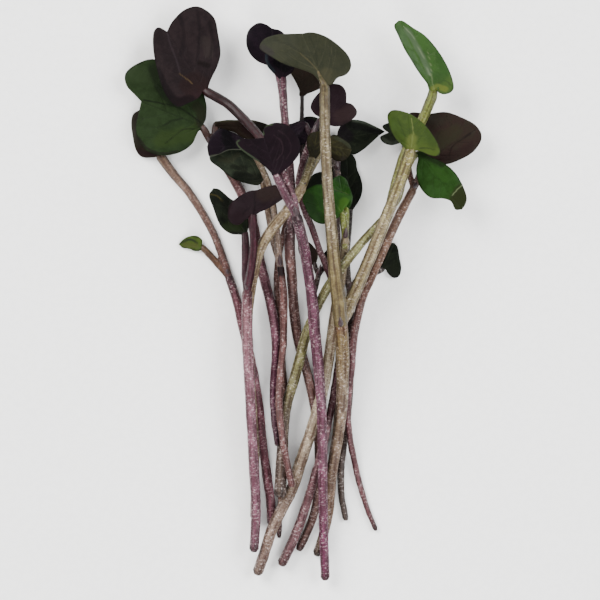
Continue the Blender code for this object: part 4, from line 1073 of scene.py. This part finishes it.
# A leaf's spans: from and to. A third and fourth value are what they map to, where that isn't 0 and 1.
BLOTCH_SHARE = 0.6
MOTTLE_SPAN, GRAIN_SPAN, PATCH_SPAN = (0.46, 0.74), (0.35, 0.8), (0.3, 0.7)
RIM_RAG = 0.1
VEIN_SPAN, VEIN_BREAKS, FAINTEST_VEIN = (1.5, 0.3), (0.3, 0.6), 0.35
WEAR_SPAN, PAINT_LEFT = (0.2, 0.8), 0.72
FACE_SPAN = (0.35, 0.65)
DULLEST_LEAF = 0.62
GROOVE_SPAN, GROOVE_DEPTH, GRAIN_HEIGHT, PATCH_HEIGHT = (1.6, 0.0), -0.5, 0.25, 0.5
LEAF_BUMP = (0.5, 0.12)

# A stem's spans, written the same way, and what its tint is multiplied by.
FIBRE_SPAN, FIBRE_DARK, FIBRE_LIGHT = (0.32, 0.72), (0.58, 0.50, 0.50), (1.22, 1.2, 1.18)
# DARK_SHADE is the painted shade of grooves and wrinkles, GLINT_SHADE the lightening of the painted
# highlights
DARK_SHADE, LIGHT_SHADE, GLINT_SHADE = (0.22, 0.14, 0.14), (1.5, 1.45, 1.45), (2.4, 2.4, 2.4)
GROOVE_SHADE_SPAN, WRINKLE_SHADE_SPAN, BLOTCH_SPAN = (0.4, 0.0, 0.0, 0.75), (0.62, 0.44, 0.0, 0.5), (0.5, 0.75, 0.0, 0.6)
# The painted highlights: where the glint noise shows them, in which patches, and their pale tone and share
GLINT_SPAN, GLINT_PATCHES = (0.50, 0.68), (0.36, 0.6, 0.12, 1.0)
GLINT_TONE, GLINT_SHARE = (0.66, 0.58, 0.56), 0.5
STEM_ROUGHNESS, STEM_SHINE = (0.3, 0.7, 0.34, 0.55), 0.18
STEM_GLOW, STEM_GLOW_RADIUS = 0.08, (0.0009, 0.0005, 0.0004)
WRINKLE_HEIGHT, FIBRE_HEIGHT, GLINT_HEIGHT = 0.8, 0.5, 0.35
STEM_BUMP = (0.6, 0.16)

# The bud and the paper floor.
STREAK_SPAN, BUD_TONES, BUD_ROUGHNESS, BUD_BUMP = (0.35, 0.7), ("2a0c16", "5a2430"), 0.4, (0.5, 0.1)
PAPER_TONES = ((0.90, 0.90, 0.895), (0.93, 0.93, 0.925))
PAPER_ROUGHNESS, PAPER_SHINE = 0.85, 0.15


class Nodes:
    """A small helper to wire a material's nodes."""

    def __init__(self, name):
        self.material = bpy.data.materials.new(name)
        self.material.use_nodes = True
        self.tree = self.material.node_tree
        self.shader = self.tree.nodes["Principled BSDF"]

    def add(self, kind, values=(), **settings):
        node = self.tree.nodes.new(kind)
        for key, value in settings.items():
            setattr(node, key, value)
        for key, value in dict(values).items():
            if isinstance(value, bpy.types.NodeSocket):
                self.tree.links.new(value, node.inputs[key])
            else:
                node.inputs[key].default_value = value
        return node

    def attribute(self, name, output="Fac"):
        return self.add("ShaderNodeAttribute", attribute_name=name).outputs[output]

    def math(self, operation, a, b=0.0, clamp=False):
        return self.add("ShaderNodeMath", {0: a, 1: b}, operation=operation, use_clamp=clamp).outputs[0]

    def span(self, value, low, high, to_low=0.0, to_high=1.0):
        """Maps low..high to to_low..to_high, smoothly and held at both ends."""
        return self.add("ShaderNodeMapRange", {0: value, 1: low, 2: high, 3: to_low, 4: to_high},
                        interpolation_type="SMOOTHSTEP").outputs[0]

    def mix(self, share, a, b, blend="MIX"):
        node = self.add("ShaderNodeMix", data_type="RGBA", blend_type=blend)
        for socket, value in ((node.inputs[0], share), (node.inputs[6], a), (node.inputs[7], b)):
            if isinstance(value, bpy.types.NodeSocket):
                self.tree.links.new(value, socket)
            elif isinstance(value, float):
                socket.default_value = value
            else:
                socket.default_value = (*value, 1.0)
        return node.outputs[2]

    def noise(self, vector, scale=1.0, detail=SOFT_DETAIL, stretch=(1.0, 1.0, 1.0), shift=0.0, rough=0.5):
        place = self.add("ShaderNodeMapping", {"Vector": vector, "Scale": stretch,
                                               "Location": (shift, shift, shift)})
        return self.add("ShaderNodeTexNoise", {"Vector": place.outputs[0], "Scale": scale, "Detail": detail,
                                               "Roughness": rough}).outputs["Fac"]

    def set(self, **values):
        for key, value in values.items():
            socket = self.shader.inputs[key.replace("_", " ")]
            if isinstance(value, bpy.types.NodeSocket):
                self.tree.links.new(value, socket)
            else:
                socket.default_value = value

    def bump(self, height, strength, distance):
        node = self.add("ShaderNodeBump", {"Height": height, "Strength": strength, "Distance": distance * MM})
        self.set(Normal=node.outputs[0])


@functools.cache
def leaf_material(name):
    """A seed leaf's surface: mottled, with its veins, a rim of its own colour and a paler underside."""
    look = LOOKS[name]
    top, mottle, grain_tone, root_tone, rim_tone, vein_tone, back_tone = map(linear, look["codes"])
    n = Nodes(name)
    flat = n.attribute("flat", "Vector")
    vein, rim, face, root = (n.attribute(key) for key in ("vein", "rim", "face", "root"))
    broad = n.noise(flat, BROAD_SCALE)
    patches = n.noise(flat, PATCH_SCALE, FINE_DETAIL, shift=PATCH_SHIFT)
    grain = n.noise(flat, GRAIN_SCALE, shift=GRAIN_SHIFT)
    blotch = n.math("ADD", n.math("MULTIPLY", broad, BLOTCH_SHARE), n.math("MULTIPLY", patches, BLOTCH_SHARE))
    colour = n.mix(n.span(blotch, *MOTTLE_SPAN), top, mottle)
    colour = n.mix(n.span(grain, *GRAIN_SPAN, 0.0, GRAIN_STRENGTH), colour, grain_tone)
    colour = n.mix(n.span(root, ROOT_REACH, 0.0, 0.0, ROOT_STRENGTH), colour, root_tone)
    ragged = n.math("ADD", rim, n.span(patches, *PATCH_SPAN, -RIM_RAG, RIM_RAG))
    colour = n.mix(n.span(ragged, look["rim_width"], 0.0, 0.0, RIM_STRENGTH), colour, rim_tone)
    strength = look["vein_strength"]
    breaks = n.span(patches, *VEIN_BREAKS, FAINTEST_VEIN * strength, strength)
    colour = n.mix(n.math("MULTIPLY", n.span(vein, *VEIN_SPAN), breaks), colour, vein_tone)
    # Soft strokes of the leaf's own colours, with a few of painted shade
    paint = n.add("ShaderNodeAttribute", attribute_name="paint")
    grainy_strokes = n.math("MULTIPLY", paint.outputs["Alpha"], n.span(grain, *WEAR_SPAN, 1.0, PAINT_LEFT))
    colour = n.mix(grainy_strokes, colour, paint.outputs["Color"])
    back = n.mix(n.span(patches, *PATCH_SPAN), back_tone, mottle)
    colour = n.mix(n.span(face, *FACE_SPAN), back, colour)
    n.set(Base_Color=colour, Roughness=n.span(grain, *WEAR_SPAN, look["gloss"], DULLEST_LEAF),
          Specular_IOR_Level=look["shine"])
    height = n.math("ADD", n.math("MULTIPLY", n.span(vein, *GROOVE_SPAN), GROOVE_DEPTH),
                    n.math("MULTIPLY", grain, GRAIN_HEIGHT))
    n.bump(n.math("ADD", height, n.math("MULTIPLY", patches, PATCH_HEIGHT)), *LEAF_BUMP)
    return n.material


@functools.cache
def stem_material():
    """A stem's surface: long fibres, short wrinkles darkened with painted shade, and pale specks of painted
    highlight over its own tint.
    """
    n = Nodes("stem_skin")
    tint = n.attribute("tint", "Color")
    flow = n.attribute("flow", "Vector")
    frost, ribs = n.attribute("frost"), n.attribute("shade")
    fibres = n.noise(flow, stretch=FIBRE_STRETCH)
    wrinkles = n.noise(flow, detail=FINE_DETAIL, stretch=WRINKLE_STRETCH, shift=WRINKLE_SHIFT,
                       rough=WRINKLE_RAGGEDNESS)
    blotches = n.noise(flow, stretch=BLOTCH_STRETCH, shift=BLOTCH_SHIFT)
    glints = n.noise(flow, detail=FINE_DETAIL, stretch=GLINT_STRETCH, shift=GLINT_SHIFT,
                     rough=GLINT_RAGGEDNESS)
    shade = n.mix(n.span(fibres, *FIBRE_SPAN), FIBRE_DARK, FIBRE_LIGHT)
    colour = n.mix(1.0, tint, shade, "MULTIPLY")
    dark, light, bright = (n.mix(1.0, tint, shade, "MULTIPLY") for shade in
                           (DARK_SHADE, LIGHT_SHADE, GLINT_SHADE))
    # Painted shade in the grooves between the ribs
    colour = n.mix(n.span(ribs, *GROOVE_SHADE_SPAN), colour, dark)
    # Painted shade in the wrinkles
    colour = n.mix(n.span(wrinkles, *WRINKLE_SHADE_SPAN), colour, dark)
    colour = n.mix(n.span(blotches, *BLOTCH_SPAN), colour, light)
    # Painted highlights: pale specks where the glint noise peaks
    painted_highlights = n.math("MULTIPLY", n.span(glints, *GLINT_SPAN), frost)
    painted_highlights = n.math("MULTIPLY", painted_highlights, n.span(blotches, *GLINT_PATCHES))
    colour = n.mix(painted_highlights, colour, n.mix(GLINT_SHARE, bright, GLINT_TONE))
    n.set(Base_Color=colour, Roughness=n.span(wrinkles, *STEM_ROUGHNESS), Specular_IOR_Level=STEM_SHINE,
          Subsurface_Weight=STEM_GLOW, Subsurface_Radius=STEM_GLOW_RADIUS, Subsurface_Scale=1.0)
    height = n.math("ADD", n.math("MULTIPLY", wrinkles, WRINKLE_HEIGHT),
                    n.math("MULTIPLY", fibres, FIBRE_HEIGHT))
    n.bump(n.math("ADD", height, n.math("MULTIPLY", painted_highlights, GLINT_HEIGHT)), *STEM_BUMP)
    return n.material


@functools.cache
def bud_material():
    n = Nodes("bud_skin")
    streaks = n.noise(n.attribute("flat", "Vector"), stretch=STREAK_STRETCH)
    n.set(Base_Color=n.mix(n.span(streaks, *STREAK_SPAN), *map(linear, BUD_TONES)), Roughness=BUD_ROUGHNESS)
    n.bump(streaks, *BUD_BUMP)
    return n.material


def floor_material():
    n = Nodes("floor_paper")
    weave = n.noise(n.add("ShaderNodeTexCoord").outputs["Object"], PAPER_SCALE, FINE_DETAIL)
    n.set(Base_Color=n.mix(n.span(weave, *PATCH_SPAN), *PAPER_TONES), Roughness=PAPER_ROUGHNESS,
          Specular_IOR_Level=PAPER_SHINE)
    return n.material


# The look of each sprout


def leaf_look(codes, vein_strength, rim_width=0.35, gloss=0.42, shine=0.05, underside=False):
    """A leaf's look: the colours of its top, mottling, grain, root, rim, veins and back, and more."""
    return dict(codes=codes.split(), vein_strength=vein_strength, rim_width=rim_width, gloss=gloss,
                shine=shine, underside=underside)


LOOKS = {
    "heart_dark": leaf_look("1a0d16 22131d 2e1e26 35182a 160c13 3a2832 3d2b33", 0.2, rim_width=0.22,
        gloss=0.5),
    "heart_mottled": leaf_look("261d20 33282a 45393a 4a2a2c 221c1c 2a2022 3d2f33", 0.25, gloss=0.5),
    "green_dark": leaf_look("2a3a20 34452a 44543a 1c2014 1c2013 182010 47503a", 0.35),
    "green_leaf": leaf_look("2a481a 365829 48683a 1c2c14 1c2c12 24400f 4a5a38", 0.35, gloss=0.38),
    "brown_plain": leaf_look("372b25 332c24 463c34 3a2a24 4a4a38 2a201a 3a302a", 0.3, rim_width=0.2),
    "green_bright": leaf_look("375c23 42682c 587648 6c7638 284416 55753a 5c8040", 0.3, gloss=0.36,
        shine=0.16),
    "green_vivid": leaf_look("27501a 35641c 4a7a2e 3a5a20 1b380e 4a7628 3f6a28", 0.3, gloss=0.36, shine=0.12),
    "green_olive": leaf_look("485e24 536b2b 667a42 707c3c 2a3613 3a5020 5f7444", 0.4, shine=0.1),
    "grey_under": leaf_look("383b2d 404232 505241 5c5844 34362a 5c5c46 454838", 0.3, underside=True,
        rim_width=0.18),
    "purple_brown": leaf_look("3a2a27 38322a 4c4034 4a302a 2a1c1c 241714 4a3a36", 0.5),
    "purple_plain": leaf_look("2b1c22 33242a 42323a 3a2028 241219 3d2a33 3f2c33", 0.2),
    "black_purple": leaf_look("18101a 241824 35282f 35202a 140c12 3a2c36 2c2028", 0.3),
    "black_green": leaf_look("181c15 242b1f 33392c 2c2f22 12160f 3b4130 2e352a", 0.35),
    "grey_green": leaf_look("2e352a 3d4536 50584a 565a48 23291d 585f4a 464d3f", 0.4),
    "brown_green": leaf_look("302d1e 383624 4a4834 4c4430 24220f 5c5a3a 4a4a35", 0.4),
}
LEAF_LOOKS = [
    ("black_green", "black_green"), ("black_green", "black_green"), ("brown_plain", "black_green"),
    ("black_purple", "brown_plain"), ("brown_plain", "green_olive"), ("black_purple", "black_purple"),
    ("purple_plain", "black_purple"), ("purple_brown", "black_green"), ("green_vivid", "green_vivid"),
    ("green_bright", "green_leaf"), ("green_dark", "brown_plain"), ("black_purple", "grey_green"),
    ("brown_green", "brown_green"), ("purple_plain", "black_green"), ("grey_under", "green_olive"),
    ("heart_dark", "heart_mottled"),
]


# Soft strokes painted on single leaves: colour, half width, strength and line, seen from above. Most are the
# leaves' own colours; the few that are painted shade say so.
MARKS = {
    "16b": [
        ("2f1e1c", 1.5, 0.6, [(-16.2, 35.6), (-17.4, 36.6), (-18.6, 35.6)]),
        ("150d11", 1.0, 0.85, [(-23.9, 38.0), (-22.4, 34.9), (-20.6, 33.0), (-18.3, 33.4)]),
        ("433b38", 0.9, 0.5, [(-15.6, 43.2), (-15.2, 41.2)]),
        ("17100f", 0.45, 0.8, [(-16.8, 39.5), (-15.3, 39.0)]),
        ("1e161a", 0.35, 0.6, [(-20.0, 47.3), (-19.3, 44.0), (-19.9, 41.0)]),
        ("1e161a", 0.30, 0.6, [(-17.0, 48.0), (-16.7, 44.0), (-17.1, 39.8)]),
        ("1c1517", 0.30, 0.6, [(-15.0, 46.2), (-14.6, 43.0), (-14.9, 40.4)]),
        ("40363a", 0.16, 0.7, [(-20.0, 37.9), (-20.6, 40.0), (-21.6, 42.6), (-22.1, 44.4)]),
        ("6e5c42", 0.09, 0.9, [(-17.9, 36.0), (-19.0, 36.9), (-20.1, 37.7)]),
    ],
    "16a": [
        ("3c2b33", 0.12, 0.8, [(-4.4, 27.4), (-3.1, 26.3), (-2.9, 24.6), (-3.9, 23.2)]),
        ("3c2b33", 0.10, 0.6, [(-3.6, 28.2), (-1.9, 26.8), (-1.5, 24.9), (-2.3, 23.4)]),
        ("525f48", 0.15, 0.75, [(-10.1, 26.5), (-10.5, 26.1), (-9.8, 25.1), (-8.0, 23.8), (-6.8, 23.0)]),
        ("5a6a50", 0.22, 0.85, [(-6.1, 27.5), (-6.3, 28.3), (-5.7, 29.0), (-4.7, 29.2)]),
    ],
    "11a": [
        ("3f5029", 1.5, 0.6, [(-18.3, 27.6), (-20.6, 27.2), (-23.0, 26.6)]),
        ("39472f", 1.6, 0.6, [(-27.2, 37.6), (-25.0, 37.4)]),
        # Painted shadow near the edge of the big leaf that lies over this one
        ("1a2215", 0.9, 0.8, [(-24.6, 38.6), (-23.2, 35.2), (-21.4, 33.0)]),
        ("2c2a1e", 1.0, 0.8, [(-16.4, 29.4), (-16.3, 31.2), (-17.2, 32.4)]),
        ("12170e", 0.13, 0.9, [(-16.4, 29.4), (-18.3, 30.9), (-20.4, 32.1), (-23.4, 32.8), (-26.0, 33.3)]),
        ("12170e", 0.11, 0.9, [(-17.6, 28.5), (-19.4, 28.4), (-20.7, 27.5), (-22.4, 26.1)]),
        ("182013", 0.10, 0.8, [(-19.6, 30.2), (-21.3, 29.9), (-22.9, 28.9)]),
        ("241c1c", 0.20, 0.8, [(-26.9, 27.0), (-25.4, 25.2), (-23.0, 24.4), (-20.4, 24.8)]),
    ],
    "11b": [
        ("2e1a1f", 0.8, 0.7, [(-9.2, 28.6), (-7.4, 27.9)]),
        ("12140f", 1.2, 0.85, [(-6.4, 28.9), (-4.6, 28.5)]),
        ("4c4d3a", 0.18, 0.7, [(-13.4, 29.7), (-10.6, 29.9), (-7.6, 29.8)]),
    ],
    "12a": [
        ("251824", 1.3, 0.9, [(-14.6, 27.3), (-14.4, 25.4)]),
        ("07080a", 1.0, 0.9, [(-12.2, 27.6), (-11.8, 26.0), (-11.3, 25.4)]),
        ("6a6f60", 0.16, 0.9, [(-15.2, 23.9), (-13.5, 24.2), (-11.9, 24.9), (-9.9, 25.0)]),
    ],
    "12b": [
        # Painted shade where the leaf's lower edge is rolled under
        ("0e0f0b", 0.9, 0.85, [(-7.0, 20.2), (-8.6, 20.3), (-10.4, 20.8)]),
        ("444636", 0.5, 0.7, [(-13.2, 23.4), (-11.6, 23.3), (-10.4, 24.2)]),
        ("181a12", 0.5, 0.7, [(-11.2, 22.2), (-9.2, 21.9)]),
    ],
    "05a": [
        ("403e36", 0.8, 0.8, [(-27.5, 31.4), (-27.7, 28.6), (-27.0, 26.2)]),
        ("2f1c20", 0.6, 0.8, [(-27.3, 24.8), (-25.7, 24.3), (-24.0, 24.6)]),
    ],
    "05b": [
        ("182010", 0.16, 0.9, [(-19.8, 9.5), (-18.4, 10.1), (-17.1, 9.5)]),
        ("5c6034", 0.5, 0.8, [(-19.2, 9.2), (-17.4, 9.0)]),
    ],
    "06a": [
        ("333b42", 0.45, 0.85, [(-5.9, 40.7), (-5.4, 39.2), (-4.5, 38.1)]),
        ("07080a", 0.9, 0.9, [(-3.6, 39.6), (-2.4, 38.6)]),
    ],
    "15a": [
        ("5f5a42", 0.13, 0.85, [(3.6, 36.4), (3.0, 38.0), (1.6, 39.6), (0.0, 41.0)]),
        ("35382b", 0.12, 0.7, [(2.9, 39.0), (2.6, 41.4), (1.6, 43.8)]),
        ("383b2e", 0.12, 0.7, [(1.0, 40.4), (-1.4, 42.2), (-4.2, 43.2)]),
        ("383b2e", 0.12, 0.6, [(4.4, 37.2), (5.2, 39.6), (4.6, 42.0)]),
        ("3a3236", 0.6, 0.6, [(-6.2, 42.0), (-4.9, 41.1)]),
        ("57543f", 0.9, 0.6, [(4.2, 36.2), (4.3, 37.8)]),
    ],
    "15b": [
        ("3d5420", 1.0, 0.6, [(21.6, 28.0), (22.0, 26.2)]),
        ("45601f", 0.9, 0.6, [(15.6, 29.6), (16.6, 27.6)]),
        ("7d8748", 0.9, 0.8, [(18.4, 25.2), (18.6, 26.8)]),
        ("8f9a5e", 0.11, 0.85, [(18.5, 25.4), (18.8, 27.8), (18.5, 30.2)]),
        ("2f401a", 0.10, 0.7, [(17.6, 26.8), (16.9, 28.6), (16.2, 30.2)]),
        ("2f401a", 0.11, 0.8, [(19.8, 25.2), (21.0, 25.3), (22.4, 25.0)]),
    ],
    "10a": [
        ("2f5518", 1.1, 0.6, [(23.4, 41.0), (23.9, 38.2), (23.0, 36.6)]),
        ("66765f", 0.55, 0.7, [(17.7, 45.0), (19.0, 43.0), (20.3, 40.6), (21.5, 37.8)]),
        ("8c9a7c", 0.09, 0.75, [(17.2, 45.6), (18.9, 43.6), (20.6, 40.2), (21.6, 37.4)]),
        ("83936a", 0.09, 0.75, [(22.3, 35.2), (21.9, 36.8), (21.8, 39.0), (21.2, 41.6)]),
        ("7a843e", 0.55, 0.85, [(21.9, 34.9), (22.9, 35.5), (24.2, 35.1)]),
        ("1f3a0e", 0.10, 0.7, [(22.9, 36.0), (24.0, 36.5), (25.2, 35.8)]),
    ],
    "10b": [
        ("33331f", 1.7, 0.95, [(27.0, 17.6), (26.1, 16.0)]),
        ("18240f", 0.7, 0.8, [(20.2, 24.4), (22.0, 23.6), (23.6, 22.7)]),
        ("3b5f2b", 0.8, 0.6, [(22.4, 21.9), (24.2, 20.3)]),
        ("8f9a76", 0.08, 0.8, [(27.2, 19.3), (26.4, 18.6), (25.3, 17.4)]),
    ],
    "08a": [
        ("3a3a28", 1.5, 0.6, [(23.4, 26.4), (25.6, 27.8)]),
        ("2f1e1e", 0.8, 0.6, [(23.0, 23.6), (26.0, 24.2), (28.4, 25.4)]),
        ("1d120f", 0.13, 0.9, [(24.8, 24.0), (25.4, 25.6), (26.9, 26.7), (28.4, 27.7)]),
    ],
    "08b": [
        ("4a5044", 0.3, 0.8, [(16.4, 26.4), (15.0, 26.2), (13.8, 26.9)]),
        ("0c0d0c", 0.7, 0.9, [(16.6, 29.2), (15.0, 29.3)]),
    ],
    "02a": [
        ("1e121e", 1.2, 0.8, [(6.6, 28.8), (7.6, 27.4)]),
        ("555c50", 0.42, 0.9, [(8.9, 30.0), (11.0, 29.7), (13.4, 28.7)]),
        # Painted shade in the crease of the fold
        ("090a08", 0.5, 0.9, [(8.4, 29.2), (10.6, 28.6), (13.2, 28.0)]),
        ("2c3224", 0.5, 0.7, [(9.2, 24.9), (10.8, 25.7), (12.8, 27.2)]),
    ],
    "07a": [
        ("443434", 1.4, 0.8, [(8.6, 31.2), (6.8, 30.6)]),
        ("1e151a", 1.2, 0.7, [(3.2, 32.4), (4.0, 33.8)]),
    ],
    "13b": [
        ("454a3a", 0.32, 0.85, [(5.8, 27.0), (7.2, 26.4), (8.3, 25.5)]),
        ("241c14", 0.7, 0.7, [(5.6, 23.6), (7.4, 23.3)]),
    ],
    "13a": [
        ("25251a", 0.9, 0.7, [(1.9, 24.8), (2.6, 24.2)]),
    ],
    "14a": [
        ("40312c", 1.3, 0.8, [(-6.0, 17.4), (-3.4, 18.2)]),
        ("1a0e13", 0.12, 0.85, [(-7.7, 14.5), (-7.5, 16.0), (-7.6, 17.8)]),
        ("1a0e13", 0.10, 0.7, [(-9.5, 14.2), (-9.1, 14.9), (-8.4, 15.2)]),
    ],
    "14b": [
        ("575030", 0.13, 0.9, [(-14.9, 17.6), (-13.8, 17.3), (-12.9, 16.5)]),
        ("2e3a20", 0.9, 0.7, [(-12.4, 12.0), (-10.4, 12.2)]),
        ("0e100a", 0.8, 0.8, [(-12.4, 16.4), (-11.6, 15.2)]),
    ],
    "09a": [
        ("1c3812", 1.1, 0.7, [(1.4, 16.8), (1.9, 14.8), (3.2, 13.6)]),
        ("5a8428", 0.8, 0.6, [(7.4, 16.4), (7.2, 15.0)]),
        ("7a9052", 0.08, 0.7, [(5.2, 18.5), (6.6, 18.2), (8.0, 17.6)]),
    ],
    "09b": [
        ("1d3d10", 0.6, 0.7, [(6.4, 20.2), (7.9, 19.4)]),
    ],
}


# Painted highlights (glints) along a stem or stalk, as (share, strength)
EVEN_PAINTED_GLINT = [(0, 0.6), (1, 0.6)]


def tones(stem, upper, lower, frost_stem=EVEN_PAINTED_GLINT, frost_upper=EVEN_PAINTED_GLINT, frost_lower=EVEN_PAINTED_GLINT,
          ribs=6, rib_depth=0.05, groove=0.55, bud_lift=0.16):
    """Colours and painted highlights along a stem and its stalks, the stalks' ribs and the painted shade of
    their grooves, and how far its bud is raised.
    """
    return dict(stem=stem, upper=upper, lower=lower, frost_stem=frost_stem, frost_upper=frost_upper,
                frost_lower=frost_lower, ribs=ribs, rib_depth=rib_depth, groove=groove, bud_lift=bud_lift)


# Colours along each stem from its cut end, and along its stalks from the fork
STEM_TONES = [
    tones([(0, "6b5f58"), (0.1, "6b5f58"), (1, "6b5a56")], [(0, "5f5048"), (1, "3c3630")],
          [(0, "5f5048"), (1, "3c3630")]),
    tones([(0, "6b5f58"), (1, "6b5a56")], [(0, "5f4a58"), (1, "3c3036")], [(0, "5f5048"), (1, "3c3630")]),
    tones([(0, "6b5f58"), (1, "5b4a46")], [(0, "4f3a38"), (1, "3c2a28")], [(0, "4f3a38"), (1, "3c2a28")]),
    tones([(0, "4a2430"), (0.06, "8a6a62"), (1, "86655f")], [(0, "5f4a48"), (1, "40302f")],
          [(0, "5f4a48"), (1, "2c2422")], frost_upper=[(0, 0.3), (1, 0.2)], frost_lower=[(0, 0.3), (1, 0.0)]),
    tones([(0, "7a4a58"), (0.1, "9a6a76"), (0.9, "90606c"), (1, "5a2c3a")],
          [(0, "5a2c3a"), (0.08, "7a5450"), (0.5, "957c72"), (0.85, "8c7868"), (1, "6a4448")],
          [(0, "5a2c3a"), (0.3, "7c5a4c"), (1, "7a6850")], frost_upper=[(0, 0.5), (1, 0.15)],
          frost_lower=[(0, 0.2), (1, 0.1)]),
    tones([(0, "5a3a38"), (0.08, "8d706a"), (0.9, "8a6c68"), (1, "6a4650")], [(0, "8a6a70"), (1, "74475a")],
          [(0, "8a6a70"), (0.6, "7c5464"), (1, "84586a")]),
    tones([(0, "6a4a4a"), (0.05, "8a666c"), (0.9, "7c565e"), (1, "54303c")], [(0, "54303c"), (1, "402430")],
          [(0, "54303c"), (1, "402430")], frost_upper=[(0, 0.1), (1, 0.0)], frost_lower=[(0, 0.1), (1, 0.0)]),
    tones([(0, "4a2c2c"), (0.05, "84585e"), (0.5, "8b6468"), (0.75, "8e7262"), (1, "927868")],
          [(0, "7a5448"), (1, "5a3c30")], [(0, "7a5448"), (1, "4c3a2c")]),
    tones([(0, "7c6c62"), (0.06, "98847a"), (0.3, "a39484"), (0.5, "c6bca6"), (1, "aca388")],
          [(0, "989a68"), (1, "7c9440")], [(0, "989a68"), (1, "7c9440")]),
    tones([(0, "5a4a40"), (0.05, "75645a"), (0.2, "85766a"), (0.4, "94946e"), (1, "a0a47a")],
          [(0, "a0a478"), (0.5, "98a066"), (1, "6c7a38")], [(0, "949a6c"), (1, "62703a")],
          frost_upper=[(0, 0.5), (0.5, 0.3), (1, 0.05)]),
    tones([(0, "5a2c40"), (0.2, "86526a"), (0.5, "946c78"), (0.8, "947074"), (1, "8c6c60")],
          [(0, "70504c"), (1, "4c3a30")], [(0, "70504c"), (1, "4c382e")], frost_upper=[(0, 0.2), (1, 0.0)],
          frost_lower=[(0, 0.2), (1, 0.0)]),
    tones([(0, "86605f"), (0.8, "8c6864"), (0.955, "886460"), (0.965, "401820"), (1, "401820")],
          [(0, "401820"), (0.06, "a5948a"), (0.7, "948874"), (1, "5c4a3e")],
          [(0, "401820"), (0.06, "a5948a"), (0.7, "8c7c68"), (1, "4a3c30")],
          frost_stem=[(0, 0.6), (0.94, 0.6), (0.955, 0.0), (1, 0.0)]),
    tones([(0, "86766a"), (0.1, "a3937f"), (1, "aca083")], [(0, "a39b7c"), (1, "6c6c48")],
          [(0, "a39b7c"), (1, "5c5c3c")]),
    tones([(0, "5a3440"), (0.06, "8c5e70"), (0.5, "9a7080"), (0.93, "a88088"), (1, "6c3c48")],
          [(0, "3c0a1c"), (0.1, "62283c"), (1, "5a2638")], [(0, "3c0a1c"), (0.1, "62283c"), (1, "502834")],
          frost_upper=[(0, 0.05), (1, 0.05)], frost_lower=[(0, 0.05), (1, 0.05)]),
    tones([(0, "4a3c36"), (0.05, "786658"), (0.2, "927c6c"), (0.7, "948674"), (0.95, "968662"),
           (1, "8a6a52")],
          [(0, "8c8260"), (0.3, "948a68"), (0.42, "a8a084"), (0.8, "8e866a"), (1, "6a6244")],
          [(0, "9c9070"), (0.5, "a8a080"), (1, "8c8c54")], ribs=5, rib_depth=0.12,
          groove=1.0, bud_lift=1.05,
          frost_upper=[(0, 0.05), (0.28, 0.1), (0.4, 0.8), (0.75, 0.7), (0.85, 0.1), (1, 0.0)]),
    tones([(0, "5e3040"), (0.04, "8a4a6c"), (0.3, "8a5c70"), (0.85, "84566c"), (0.97, "6d3c52"),
           (1, "4a1a2c")],
          [(0, "4a1a2c"), (0.15, "7c5464"), (0.8, "7c5464"), (1, "5a3442")],
          [(0, "4a1a2c"), (0.12, "84606c"), (0.4, "70444c"), (0.55, "4c1e28"), (1, "401a1c")],
          frost_lower=[(0, 0.7), (0.3, 0.7), (0.5, 0.0), (1, 0.0)]),
]


# The bunch, the surface under it, the light and the camera, with these lengths in metres

CAMERA_HEIGHT = 4.0
FLOOR_REACH = 1.5


def add_light(name, place, size, power, colour):
    """A round lamp that faces the bunch."""
    data = bpy.data.lights.new(name, "AREA")
    data.shape = "DISK"
    data.size = size
    data.energy = power
    data.color = colour
    light = new_object(name, data)
    light.location = place
    light.rotation_euler = (Vector((0.0, 0.0, 0.0)) - Vector(place)).to_track_quat("-Z", "Y").to_euler()


def add_camera():
    """Looks straight down from far off, with the leaves at the top of the picture."""
    data = bpy.data.cameras.new("overhead")
    data.lens = 1440.0
    data.sensor_width = 36.0
    data.clip_end = 20.0
    camera = new_object("overhead", data)
    camera.location = (-BUNCH_CENTRE[0] * MM, -BUNCH_CENTRE[1] * MM, CAMERA_HEIGHT)
    bpy.context.scene.camera = camera


def add_floor():
    mesh = bpy.data.meshes.new("floor")
    corners = [(x * FLOOR_REACH, y * FLOOR_REACH, 0) for x, y in ((-1, -1), (1, -1), (1, 1), (-1, 1))]
    mesh.from_pydata(corners, [], [(0, 1, 2, 3)])
    mesh.materials.append(floor_material())
    floor = new_object("floor", mesh)


def add_world():
    world = bpy.data.worlds.new("studio")
    world.use_nodes = True
    background = world.node_tree.nodes["Background"]
    background.inputs["Color"].default_value = (1.0, 1.0, 1.0, 1.0)
    background.inputs["Strength"].default_value = 0.8
    bpy.context.scene.world = world


def place(piece, slot, *nodes):
    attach(piece, "root")
    if nodes:
        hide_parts(*nodes)


def build():
    heap = Heap()
    for number, (plan, looks, stem_look) in enumerate(zip(SPROUTS, LEAF_LOOKS, STEM_TONES), 1):
        laid = LaidSprout(plan, heap)
        laid.lay(heap)
        name = f"sprout_{number:02d}"
        facing = {arm: 1 if LOOKS[look]["underside"] else -1 for arm, look in zip(ARMS, looks)}
        stem, fork, onward = fine_stem(f"fine_{name}_stem", laid, stem_look, facing, number)
        place(stem, plan["colour"], f"{name}_stem")
        place(fine_bud(f"fine_{name}_bud", fork, onward, stem_look["bud_lift"], number), plan["colour"])
        for arm, letter, look in zip(ARMS, "ab", looks):
            marks = MARKS.get(f"{number:02d}{letter}", [])
            seed = 10 * number + ord(letter)
            leaf_piece = fine_leaf(f"fine_{name}_leaf_{letter}", laid, arm, look, marks, seed)
            place(leaf_piece, plan[arm]["leaf"]["colour"], f"{name}_leaf_{letter}")


build()
add_floor()
add_world()
add_light("key", (-0.75, 0.65, 0.8), 0.9, 34.0, (1.0, 0.985, 0.965))
add_light("fill", (0.85, 0.25, 0.75), 0.9, 21.0, (0.97, 0.985, 1.0))
add_light("front", (0.0, -0.95, 0.75), 0.9, 15.0, (1.0, 1.0, 1.0))
add_camera()
